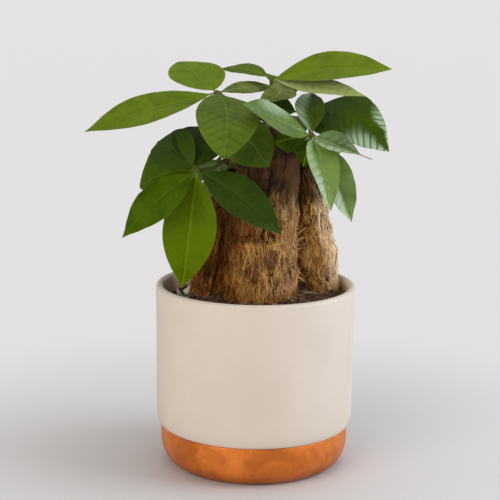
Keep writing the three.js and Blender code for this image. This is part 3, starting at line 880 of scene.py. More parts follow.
@dataclass
class Planter:
    """The white pot standing in its copper-coloured tray, both turned from profiles of radius and
    height. The names and numbers are those of the solids."""

    rim_height: float = 138
    rim_radius: float = 75
    wall: float = 5.3
    waist_radius: float = 74.2
    edge_height: float = 11
    step_height: float = 31
    seat: float = 15
    base_radius: float = 71
    base_wall: float = 5
    base_floor: float = 4
    base_bend: float = 22
    foot_radius: float = 58
    drain_radius: float = 6
    play: float = 0.6  # between the pot and the tray's wall
    clear: float = 0.3  # between the two, above and below
    floor_wall: float = 7  # thickness of the pot's floor
    hollow: float = 2  # how far the pot's underside is hollow
    inset: float = 8  # width of the pot's foot ring, and of the corner inside
    edge_round: float = 0.8  # rounding of the tray's edge
    hub: float = 0.5  # radius where the tray's skin is closed in the middle
    sides: int = 240

    def arc(self, centre: tuple[float, float], across: float, tall: float, start: float, end: float,
            count: int) -> np.ndarray:
        """Points on an oval round a centre, between two directions in degrees."""
        turn = np.radians(np.linspace(start, end, count))
        return np.stack([centre[0] + across * np.cos(turn), centre[1] + tall * np.sin(turn)], -1)

    def turned(self, outline: np.ndarray, stain: np.ndarray) -> Skin:
        """Spins a profile that closes on itself, or starts and ends near the axis, where fans close it.

        A point at a turn a is (radius cos a, radius sin a, height).

        Args:
            outline: Array of (points, 2), running up the outside and down the inside.
            stain: How stained each profile point is, as an array of (points,).

        Returns:
            The skin. Its mark holds the stain, and how deep the stain's brown is.
        """
        turn = full_turn(self.sides)
        radius, height = outline[:, :1], outline[:, 1:]
        rings = np.stack([radius * np.cos(turn), radius * np.sin(turn), height + 0 * turn], -1)
        count = len(outline)
        closed = bool(np.allclose(outline[0], outline[-1]))
        if closed:
            rings, count = rings[:-1], count - 1
        marks = np.zeros(rings.shape)
        marks[..., 0] = stain[:count, None]
        marks[..., 1] = step(stain[:count], 0.7, 1)[:, None]
        if not closed:
            return loft(rings, {"stain": marks})
        index = np.arange(count * self.sides).reshape(count, self.sides)
        ahead, up = np.roll(index, -1, 1), np.roll(index, -1, 0)
        quads = np.stack([index, ahead, np.roll(ahead, -1, 0), up], -1).reshape(-1, 4)
        return Skin(rings.reshape(-1, 3), quads, np.empty((0, 3), int), {"stain": marks.reshape(-1, 3)})

    def pot(self) -> Skin:
        """The white pot: foot ring, overhanging edge, nearly upright wall, rounded lip and inner wall.

        Returns:
            The pot's skin.
        """
        spigot = self.base_radius - self.base_wall - self.play
        inside = spigot - self.wall
        foot = self.base_floor + self.clear
        floor = foot + self.floor_wall
        lip = self.wall / 2
        drain, under = self.drain_radius, foot + self.hollow
        ring = spigot - self.seat - self.inset
        shoulder = self.step_height + self.edge_height
        top = self.rim_height - lip
        parts = [
            [(drain, under), (ring, under), (ring, foot), (spigot - self.seat, foot)],
            [(spigot, foot + self.seat), (spigot, self.step_height)],
            self.arc((self.base_radius, shoulder), self.waist_radius - self.base_radius,
                     self.edge_height, -90, 0, 16)[:-1],
            np.linspace((self.waist_radius, shoulder), (self.rim_radius, top), 12),
            self.arc((self.rim_radius - lip, top), lip, lip, 0, 180, 20)[1:-1],
            np.linspace((self.rim_radius - self.wall, top), (inside, shoulder), 24),
            [(inside, floor + self.inset), (inside - self.inset, floor), (drain, floor), (drain, under)],
        ]
        outline = np.concatenate([np.array(part, float) for part in parts])
        outside, bottom = sum(len(part) for part in parts[:5]), len(parts[-1])
        stain = np.zeros(len(outline))
        stain[outside:] = step(self.rim_height - outline[outside:, 1], 1.5, 6)
        stain[-bottom:] = 0.6
        return self.turned(outline, stain)

    def tray(self) -> Skin:
        """The copper-coloured base: flat foot, quarter-oval bend, upright wall and a floor inside.

        Returns:
            The tray's skin.
        """
        inner = self.base_radius - self.base_wall
        top, edge = self.step_height - self.clear, self.edge_round
        bend = self.arc((self.foot_radius, self.base_bend), self.base_radius - self.foot_radius,
                        self.base_bend, -90, 0, 28)
        outline = np.concatenate(
            [
                [(self.hub, 0), (self.foot_radius - 4, 0)],
                bend,
                [(self.base_radius, top - edge)],
                self.arc((self.base_radius - edge, top - edge), edge, edge, 0, 90, 5)[1:],
                [(inner, top), (inner, self.base_floor + self.seat)],
                [(inner - self.seat, self.base_floor), (self.hub, self.base_floor)],
            ]
        )
        return self.turned(outline, np.zeros(len(outline)))

    def build(self) -> None:
        """Makes both pieces."""
        show("planter_pot", [self.pot()], [GlazeFinish().material()], ["pot_body"])
        show("planter_base", [self.tray()], [CopperFinish().material()], ["pot_base"])


# ---------------------------------------------------------------- trunks


@dataclass(frozen=True)
class Scar:
    """A healed wound on a trunk: an oval, at an angle in degrees and a height, sunk or raised."""

    turn: float
    height: float
    wide: float
    tall: float
    sunk: float = 0.7
    red: float = 1.0


@dataclass(frozen=True)
class Tuft:
    """A bunch of fibres that stand off a trunk: an angle in degrees, a height, and how far they peel."""

    turn: float
    height: float
    count: int
    peel: float = 5.0
    spread: float = 5.0


USUAL_RADIUS = 25  # mm; a thinner trunk has fewer cells of noise round it
WAVES = (  # fibre bundles: size, waves round the trunk, and shares of its own start and of the drift
    (0.5, 5, 1, 1),
    (0.35, 9, 2.1, -1.7),
    (0.3, 14, 3.7, 2.3),
)


@dataclass
class Trunk:
    """A swollen trunk. Its middle line and radius are read by height, and each point of its skin is the
    middle plus radius + ridges * bundles(turn, height) + bark relief, outwards. The bark's strands are
    crests of noise that is stretched along the trunk, and fade towards a smooth dark top, which also holds
    painted shade from the leaves."""

    name: str
    node: str
    x: Pairs
    y: Pairs
    radius: Pairs
    ridges: float
    dark_from: float  # height where the smooth dark top begins
    seed: int
    columns: int
    rows: int
    fibres: int
    dry_and_lit: float = 0.0  # share of dry straw on the right side, which also holds painted light
    scars: tuple[Scar, ...] = ()
    tufts: tuple[Tuft, ...] = ()
    soil_level: float = 126.5
    foot: float = 112  # lower end of the skin, in the soil
    dome: float = 6  # height of the rounded top
    fibre_points: int = 5
    fibre_sides: int = 3
    fibre_length: tuple[float, float] = (4, 17)
    fibre_radius: tuple[float, float] = (0.16, 0.42)

    def reach(self, turn: np.ndarray, height: np.ndarray) -> np.ndarray:
        """The trunk's radius with its fibre bundles: three waves round it that drift with height.

        Args:
            turn: Angles round the trunk.
            height: Heights in mm.

        Returns:
            Radii in mm.
        """
        drift = height * 0.012
        start = self.x[0][1]
        waves = sum(
            size * np.cos(count * turn + shift * start + pace * drift) for size, count, shift, pace in WAVES
        )
        full = step(height, self.soil_level - 12, self.soil_level + 6)
        return eased(self.radius, height) + self.ridges * waves * full

    @property
    def size(self) -> float:
        """The trunk's greatest radius, as a share of the usual one."""
        return max(radius for _, radius in self.radius) / USUAL_RADIUS

    def grain(self, turn: np.ndarray, height: np.ndarray, cells: int, tall: float, number: int,
              least: int = 1) -> np.ndarray:
        """Noise of this trunk's own, with at least so many cells round it, each so many mm tall."""
        return woven(turn, height, max(least, int(cells * self.size)), tall, self.seed + number)

    def darkness(self, turn: np.ndarray, height: np.ndarray) -> np.ndarray:
        """How far the bark is the smooth dark kind, which also holds painted shade from the leaves: 0
        below, 1 above, with a ragged border that is higher on the right, the lit side.

        Args:
            turn: Angles round the trunk.
            height: Heights in mm.

        Returns:
            The share of dark bark.
        """
        ragged = 26 * (woven(turn, height, 11, 30, self.seed + 1) - 0.5)
        ragged = ragged + 14 * (woven(turn, height, 37, 12, self.seed + 2) - 0.5)
        return step(height + ragged - 8 * np.cos(turn), self.dark_from - 7, self.dark_from + 9)

    def wounds(self, turn: np.ndarray, height: np.ndarray) -> tuple[np.ndarray, np.ndarray]:
        """How deep the scars are in mm, and how red, at each point. A scar's border is uneven.

        Args:
            turn: Angles round the trunk.
            height: Heights in mm.

        Returns:
            The depth and the redness.
        """
        depth, red = np.zeros(turn.shape), np.zeros(turn.shape)
        uneven = 0.8 * (woven(turn, height, 44, 5, self.seed + 9) - 0.5)
        for scar in self.scars:
            away = np.angle(np.exp(1j * (turn - math.radians(scar.turn)))) * eased(self.radius, height)
            reach = np.hypot(away / scar.wide, (height - scar.height) / scar.tall) + uneven
            inside = step(-reach, -1.15, -0.8)
            depth += scar.sunk * inside
            red = np.maximum(red, scar.red * inside)
        return depth, red

    def bark(self, turn: np.ndarray, height: np.ndarray) -> tuple[np.ndarray, np.ndarray]:
        """The relief in mm, and the mark that the bark finish reads.

        The relief sums bundles and strands, crests of noise that is stretched upwards and wanders
        sideways, with hairs and knobs of plain noise, and cracks where a broad noise passes a half.

        Args:
            turn: Angles round the trunk.
            height: Heights in mm.

        Returns:
            The relief, and (strand height, share of dark top, share of scar) at each point.
        """
        lean = turn + 0.24 * (woven(turn, height, 7, 30, self.seed + 3) - 0.5)
        lean = lean + 0.2 * (woven(turn, height, 15, 12, self.seed + 4) - 0.5)
        lean = lean + 0.07 * (woven(turn, height, 40, 5, self.seed + 10) - 0.5)
        bundles = crest(self.grain(lean, height, 26, 30, 5, least=12))
        strands = crest(self.grain(lean, height, 84, 12, 6, least=24))
        hairs = self.grain(lean, height, 190, 6, 7)
        knobs = self.grain(turn, height, 20, 9, 8, least=9)
        cracks = crest(self.grain(lean, height, 10, 8, 11, least=6)) ** 10
        torn = step(self.grain(turn, height, 9, 18, 12, least=6), 0.45, 0.7)
        strand = 0.3 * bundles + 0.4 * strands + 0.3 * hairs
        dark = self.darkness(turn, height)
        depth, red = self.wounds(turn, height)
        shag = (1 - 0.72 * dark) * (1 - 0.8 * red)
        rough = 2.3 * (bundles - 0.5) + 1.5 * (strands - 0.5) + 0.9 * (hairs - 0.5) + 1.6 * (knobs - 0.5)
        relief = shag * (0.8 * rough * self.size**0.3 - 1.1 * cracks * torn) - depth
        height_mark = strand + 0.22 * (knobs - 0.5) - 0.5 * cracks * torn
        return relief, np.stack([np.clip(height_mark, 0, 1), dark * (1 - red), red], -1)

    def tint(self, turn: np.ndarray, height: np.ndarray, own: np.ndarray | float = 0.0) -> np.ndarray:
        """The mark "own": the tone of its own, the share of rust, which is more on the plant's left as
        painted shade, and the share of dry straw, which is more on the trunk's right as painted light.

        Args:
            turn: Angles round the trunk.
            height: Heights in mm.
            own: The tone of its own.

        Returns:
            The mark.
        """
        cloud = woven(turn, height, 6, 26, self.seed + 13) - 0.5
        left = eased(self.x, height) + eased(self.radius, height) * np.cos(turn)
        # Painted shade on the plant's left, as rust, and painted light on each trunk's right, as dry straw.
        share = step(-left, -22, 34) + 0.9 * cloud
        dry_and_lit = self.dry_and_lit * step(np.cos(turn) + cloud, 0, 0.9)
        dry_and_lit = dry_and_lit * step(height, self.soil_level, self.soil_level + 18)
        return np.stack([own + 0 * share, np.clip(share, 0, 1), dry_and_lit], -1)

    def at(self, turn: np.ndarray, height: np.ndarray, lift: np.ndarray | float) -> np.ndarray:
        """The point at a turn and height, lifted from the smooth trunk by a distance.

        Args:
            turn: Angles round the trunk.
            height: Heights in mm.
            lift: Distance outwards in mm.

        Returns:
            The points.
        """
        reach = self.reach(turn, height) + lift
        x = eased(self.x, height) + reach * np.cos(turn)
        y = eased(self.y, height) + reach * np.sin(turn)
        return np.stack([x, y, height + 0 * turn], -1)

    def skin(self) -> Skin:
        """The trunk's closed skin. Above its shoulder the rings draw in over a dome.

        Returns:
            The skin, with the marks that the bark finish reads.
        """
        top = self.radius[-1][0]
        turn = full_turn(self.columns)
        body = np.linspace(self.foot, top - self.dome, self.rows)
        rise = np.linspace(0, np.pi / 2, 16)[1:-1]
        heights = np.concatenate([body, top - self.dome + self.dome * np.sin(rise)])
        inward = np.concatenate([np.ones(self.rows), np.cos(rise) ** 0.8])
        turns, levels = np.meshgrid(turn, heights)
        relief, mark = self.bark(turns, levels)
        rings = self.at(turns, levels, relief)
        middle = np.stack([eased(self.x, heights), eased(self.y, heights), heights], -1)[:, None]
        rings = middle + (rings - middle) * inward[:, None, None]
        return loft(rings, {"bark": mark, "own": self.tint(turns, levels)})

    def loose(self) -> Skin:
        """Loose fibres: each follows the bark for a way, at a slant of its own, and peels off at one end.

        A fibre's height runs evenly, its turn drifts, and its lift is a share of the way to the power of
        three, so that most of it lies on the bark. Some stand in tufts, where they are paler and longer.

        Returns:
            The skin of all the fibres.
        """
        rng = np.random.default_rng(self.seed + 20)
        points = self.fibre_points
        tufted = sum(tuft.count for tuft in self.tufts)
        count = self.fibres + tufted
        way = np.linspace(0, 1, points)
        start = rng.uniform(self.soil_level - 1, self.dark_from + 8, (count, 1))
        turn = rng.uniform(0, 2 * np.pi, (count, 1))
        peel = rng.gamma(1.3, 0.55, (count, 1)).clip(0, 3.2)
        own = rng.normal(0, 0.62, (count, 1))
        begin = self.fibres
        for tuft in self.tufts:
            spread = rng.normal(0, 1, (2, tuft.count, 1))
            here = slice(begin, begin + tuft.count)
            start[here] = tuft.height + tuft.spread * spread[0]
            turn[here] = math.radians(tuft.turn) + tuft.spread / USUAL_RADIUS * spread[1]
            peel[here] = rng.uniform(0.5, 1, (tuft.count, 1)) * tuft.peel
            own[here] = rng.uniform(0, 1.6, (tuft.count, 1))
            begin += tuft.count
        length = rng.uniform(*self.fibre_length, (count, 1))
        length = length * rng.choice([-1, 1], (count, 1), p=[0.35, 0.65])
        slant = rng.normal(0, 0.3, (count, 1))
        astray = rng.random((count, 1)) < 0.12
        slant = slant + astray * rng.normal(0, 1.1, (count, 1))
        height = start + length * np.cos(slant) * way
        height = np.clip(height, self.soil_level - 3, self.radius[-1][0] - self.dome)
        radius = eased(self.radius, start)
        turn = turn + np.abs(length) * np.sin(slant) / radius * way
        turn = turn + rng.normal(0, 0.3, (count, points)) / radius
        relief, mark = self.bark(turn, height)
        thick = rng.uniform(*self.fibre_radius, (count, 1)) * np.sin(np.pi * (0.12 + 0.8 * way)) ** 0.6
        lift = relief + 0.15 + peel * way**3
        mark[..., 0] = 0.25 + 0.5 * mark[..., 0] + 0.12 * way
        mark[..., 1] *= 0.75
        mark[..., 2] *= 0.3
        keep = self.wounds(turn[:, 0], height[:, 0])[1] < 0.3
        marks = {"bark": mark[keep], "own": self.tint(turn, height, own)[keep]}
        return tubes(self.at(turn, height, lift)[keep], thick[keep], self.fibre_sides, **marks)

    def build(self, bark: bpy.types.Material) -> None:
        """Makes the trunk and its loose fibres as one piece."""
        show(self.name, [self.skin(), self.loose()], [bark], [self.node], sharp=75)


TRUNKS = (
    Trunk(
        name="bark_center",
        node="trunk_center",
        x=((80, 5), (128, 3.5), (190, 3.3), (242, 9)),
        y=((80, -3), (128, -4.5), (242, -2)),
        radius=((80, 16), (128, 25.8), (150, 25.3), (185, 25.5), (215, 24), (234, 21.5), (242, 16)),
        ridges=1.5,
        dark_from=198,
        seed=100,
        columns=300,
        rows=170,
        fibres=3300,
        dry_and_lit=0.2,
        scars=(
            Scar(-75, 163, 5.6, 8, 0.8),
            Scar(-94, 156, 4.2, 4.5, 0.6, 0.9),
            Scar(-106, 150, 5, 4.5, 0.7, 0.9),
            Scar(-134, 185, 6.5, 8.5, 0.7, 0.75),
            Scar(-131, 157.5, 1.6, 2.8, 1.6, 0.2),
            Scar(-126, 153, 3, 1, 1.3, 0.2),
            Scar(-75, 150, 4, 1.2, 1.4, 0.2),
            Scar(-39, 149, 3.2, 2, 1.4, 0.2),
            Scar(70, 170, 5, 7.5, 0.8),
        ),
        tufts=(
            Tuft(-22, 157, 14, 8),
            Tuft(-20, 167, 9, 9, 3),
            Tuft(-15, 142, 8, 5),
            Tuft(-70, 134, 26, 3),
            Tuft(-98, 141, 9, 1, 2),
            Tuft(-150, 138, 22, 4),
        ),
    ),
    Trunk(
        name="bark_right",
        node="trunk_right",
        x=((80, 44), (128, 51.5), (152, 46), (187, 41.5), (228, 38)),
        y=((80, 10), (128, 12), (187, 18), (228, 22)),
        radius=((80, 7), (128, 9.5), (153, 15), (187, 12.3), (215, 10.5), (228, 8.5)),
        ridges=1,
        dark_from=203,
        seed=200,
        columns=220,
        rows=150,
        fibres=2000,
        dry_and_lit=1,
        scars=(Scar(-6, 178, 3, 4, -2.2, 0.3),),
        tufts=(Tuft(-6, 181, 14, 3, 3), Tuft(-150, 152, 8, 4), Tuft(-60, 131, 20, 3)),
    ),
    Trunk(
        name="bark_left",
        node="trunk_left",
        x=((80, -31), (128, -35), (187, -26), (220, -20)),
        y=((80, 13), (128, 17), (187, 23), (220, 28)),
        radius=((80, 9), (128, 13.8), (150, 12), (187, 9.7), (212, 8.5), (220, 6)),
        ridges=0.9,
        dark_from=200,
        seed=300,
        columns=200,
        rows=140,
        fibres=1700,
        tufts=(Tuft(-60, 134, 26, 3),),
    ),
)


# ---------------------------------------------------------------- soil


@dataclass
class Soil:
    """The potting mix: a heaped surface with lumps, and crumbs, bark chips, roots and grit lying on it.
    A few larger pale stones lie at the left wall, each given by x, y, half-width and tone."""

    level: float = 126.5
    tilt: float = 0.045
    mound: float = 2.2
    mound_radius: float = 69.7
    radius: float = 69.3
    depth: float = 14
    seed: int = 7
    sides: int = 220
    rings: int = 84
    lattice: float = 140  # width of the noise's lattice, more than the soil's
    shift: float = 200  # where along y in the noise the soil lies
    clods: Pairs = ((2.6, 22), (1.7, 52), (0.9, 110))  # heights of clods, with the lattice cells of each
    crumb_count: int = 2600
    grit_count: int = 16
    left_grit_count: int = 34
    left_grit_x: tuple[float, float] = (-67, -50)
    left_grit_y: tuple[float, float] = (-26, 10)
    root_count: int = 420
    band_count: int = 90  # pale roots in a band along the right trunk
    band_x: float = 36
    band_spread: float = 5
    band_from: float = -6
    band_length: float = 34
    stones: tuple[tuple[float, float, float, float], ...] = (
        (-52, 11, 4.2, 2.8),
        (-51, 20, 4.8, 3),
        (-50, 28, 4.4, 3),
        (-57.5, 9, 3, 2.6),
        (-59, 17, 2.6, 2.6),
    )

    def height(self, x: np.ndarray, y: np.ndarray) -> np.ndarray:
        """The smooth soil's height: rising to the right, heaped in the middle, with two waves.

        Args:
            x: Places to the right, in mm.
            y: Places to the back, in mm.

        Returns:
            Heights in mm.
        """
        heap = self.mound * (1 - (x * x + y * y) / self.mound_radius**2)
        waves = np.sin(0.21 * x + 0.9) * np.cos(0.17 * y) + 0.8 * np.sin(0.13 * x - 0.24 * y)
        return self.level + self.tilt * x + heap + 0.5 * waves

    def noise(self, x: np.ndarray, y: np.ndarray, cells: int, seed: int) -> np.ndarray:
        """Noise over x and y, with a number of square cells across the lattice."""
        return woven(x / self.lattice * 2 * np.pi, y + self.shift, cells, self.lattice / cells, seed)

    def rough(self, x: np.ndarray, y: np.ndarray) -> np.ndarray:
        """The soil's height with clods: noise over x and y in three sizes."""
        clods = sum(
            size * (self.noise(x, y, cells, self.seed + cells) - 0.5) for size, cells in self.clods
        )
        return self.height(x, y) + clods

    def surface(self) -> Skin:
        """A disc of rings from its rim inwards, closed by a skirt and a floor below.

        Returns:
            The skin, with its tone.
        """
        turn = full_turn(self.sides)
        share = np.linspace(1, 0.012, self.rings)[:, None]
        x, y = self.radius * share * np.cos(turn), self.radius * share * np.sin(turn)
        z = self.rough(x, y)
        top = np.stack([x, y, z], -1)
        skirt = top[:1] * [0.985, 0.985, 1] - [0, 0, self.depth]
        middle = np.zeros((1, self.sides, 3)) + [0, 0, self.level - self.depth]
        rings = np.concatenate([middle + (skirt - middle) * 0.02, skirt, top])
        tone = np.zeros(rings.shape)
        tone[..., 0] = 0.55 * step(self.noise(rings[..., 0], rings[..., 1], 60, 5), 0.6, 0.9)
        return loft(rings, {"tone": tone})

    def strewn(self, rng: np.random.Generator, count: int,
               spread: float = 1) -> tuple[np.ndarray, np.ndarray]:
        """Random places on the soil, even over its area and clear of the trunks.

        Args:
            rng: Where the random numbers come from.
            count: How many places are tried.
            spread: Share of the soil's radius that they reach.

        Returns:
            The x and the y of those that are clear.
        """
        reach = self.radius * 0.97 * np.sqrt(rng.random(count)) * spread
        turn = rng.uniform(0, 2 * np.pi, count)
        x, y = reach * np.cos(turn), reach * np.sin(turn)
        clear = np.ones(count, bool)
        for trunk in TRUNKS:
            away = np.hypot(x - trunk.x[1][1], y - trunk.y[1][1])
            clear &= away > trunk.radius[1][1] - 1
        return x[clear], y[clear]

    def crumbs(self) -> Skin:
        """Crumbs of soil and bark chips, white grit, most of it at the left wall, and the stones.

        Returns:
            The skin, with the tone and the darkness of each.
        """
        rng = np.random.default_rng(self.seed)
        x, y = self.strewn(rng, self.crumb_count)
        size = rng.gamma(3, 0.28, len(x)).clip(0.35, 2.4)
        tone = rng.choice([0, 0.4, 1.0], len(x), p=[0.5, 0.3, 0.2])
        grit_x, grit_y = self.strewn(rng, self.grit_count)
        left_x = rng.uniform(*self.left_grit_x, self.left_grit_count)
        left_y = rng.uniform(*self.left_grit_y, self.left_grit_count)
        inside = np.hypot(left_x, left_y) < self.radius - 1.5
        grit = len(grit_x) + np.count_nonzero(inside)
        stones = np.array(self.stones, float)
        x = np.concatenate([x, grit_x, left_x[inside], stones[:, 0]])
        y = np.concatenate([y, grit_y, left_y[inside], stones[:, 1]])
        size = np.concatenate([size, rng.uniform(0.7, 1.7, grit), stones[:, 2]])
        tone = np.concatenate([tone, np.full(grit, 3.0), stones[:, 3]])
        places = np.stack([x, y, self.rough(x, y) + 0.25 * size], -1)
        mark = np.stack([tone, rng.random(len(x)) * (tone < 2.5), 0 * tone], -1)
        return lumps(places, size, self.seed + 1, tone=mark)

    def roots(self) -> Skin:
        """Fine roots and shreds: curved fibres that lie on the soil, with their middles raised a little.

        Returns:
            The skin, with the tone and the darkness of each.
        """
        rng = np.random.default_rng(self.seed + 2)
        band = self.band_count
        x, y = self.strewn(rng, self.root_count, 0.96)
        along = rng.random(band)
        x = np.concatenate([x, self.band_x + self.band_spread * rng.normal(size=band)])
        y = np.concatenate([y, self.band_from + self.band_length * along])
        way = np.linspace(-1, 1, 9)
        length = rng.uniform(3, 11, (len(x), 1))
        aim = rng.uniform(0, 2 * np.pi, (len(x), 1)) + rng.normal(0, 0.9, (len(x), 1)) * way
        px, py = x[:, None] + length * way * np.cos(aim), y[:, None] + length * way * np.sin(aim)
        out = np.hypot(px, py)
        held = np.minimum(1, (self.radius - 1) / out)
        px, py = px * held, py * held
        hump = rng.uniform(0.1, 2.2, (len(x), 1)) * (1 - way**2)
        paths = np.stack([px, py, self.rough(px, py) + 0.3 + hump], -1)
        thick = rng.uniform(0.12, 0.4, (len(x), 1)) * np.sqrt(1.02 - way**2)
        tone = rng.choice([1.0, 1.6, 2.0], (len(x), 1), p=[0.45, 0.25, 0.3]) + 0 * px
        tone[-band:] = 2.0
        own = rng.random((len(x), 1)) * 0.6 + 0 * px
        own[-band:] *= 0.5
        return tubes(paths, thick, 4, tone=np.stack([tone, own, 0 * tone], -1))

    def build(self) -> None:
        """Makes the soil with all that lies on it as one piece."""
        skins = [self.surface(), self.crumbs(), self.roots()]
        show("potting_soil", skins, [SoilFinish().material()], ["soil"], sharp=60)


# ---------------------------------------------------------------- shoots


@dataclass
class Shoot:
    """A short stem on a trunk's top, with the rings of old leaf stalks round it."""

    name: str
    node: str
    path: tuple[Point, Point, Point]
    radius: tuple[float, float]
    seed: int

    steps: int = 64
    sides: int = 40
    joint: float = 0.45  # how far a joint swells, in mm
    joints: float = 13  # turn of the joints' cosine along the path, in radians
    tip: float = 0.1  # share of the length that is rounded off
    root: float = 2.5  # how far the foot is drawn back into what carries it, in steps
    askew: Point = (0.2, 0.9, 0.3)  # a direction that no shoot runs along

    def skin(self) -> Skin:
        """Rings along the path. The radius narrows evenly and swells at each joint, as a power of a
        cosine, and the last rings round the tip off.

        Returns:
            The skin.
        """
        path = curve_through(*self.path, self.steps)
        path[0] += (path[0] - path[1]) * self.root
        share = np.linspace(0, 1, self.steps)
        width = self.radius[0] + (self.radius[1] - self.radius[0]) * share
        joints = self.joint * np.abs(np.cos(share * self.joints)) ** 6 - self.joint / 3
        close = np.sqrt(np.clip(1 - ((share - 1 + self.tip) / self.tip).clip(0, 1) ** 2, 0.02, 1))
        turn = full_turn(self.sides)
        ahead = unit(np.gradient(path, axis=0))
        square = unit(np.cross(ahead, self.askew))
        third = np.cross(ahead, square)
        turns, shares = np.meshgrid(turn, share)
        uneven = 0.5 * (woven(turns, shares * 30, 9, 5, self.seed) - 0.5)
        reach = (width + joints)[:, None] * close[:, None] + uneven * close[:, None]
        ring = square[:, None] * np.cos(turns)[..., None] + third[:, None] * np.sin(turns)[..., None]
        return loft(path[:, None] + reach[..., None] * ring)

    def build(self, stem: bpy.types.Material) -> None:
        """Makes the shoot."""
        show(self.name, [self.skin()], [stem], [self.node])


SHOOTS = (
    Shoot(
        "stem_center", "shoot_center",
        path=((12, 0, 241.5), (13, 2, 250), (12, 4, 258)), radius=(5.5, 4), seed=11,
    ),
    Shoot(
        "stem_right", "shoot_right",
        path=((38, 22, 227.5), (39, 18, 236), (40, 14, 244)), radius=(4.5, 3.4), seed=12,
    ),
    Shoot(
        "stem_left", "shoot_left",
        path=((-6, -11, 228.5), (-16, -17, 232.5), (-25, -21, 234)), radius=(4.2, 3.2), seed=13,
    ),
    Shoot(
        "stem_back", "shoot_back",
        path=((-19, 28, 219.5), (-18.5, 32, 226), (-18, 36, 232)), radius=(4, 3.2), seed=14,
    ),
)


# ---------------------------------------------------------------- foliage


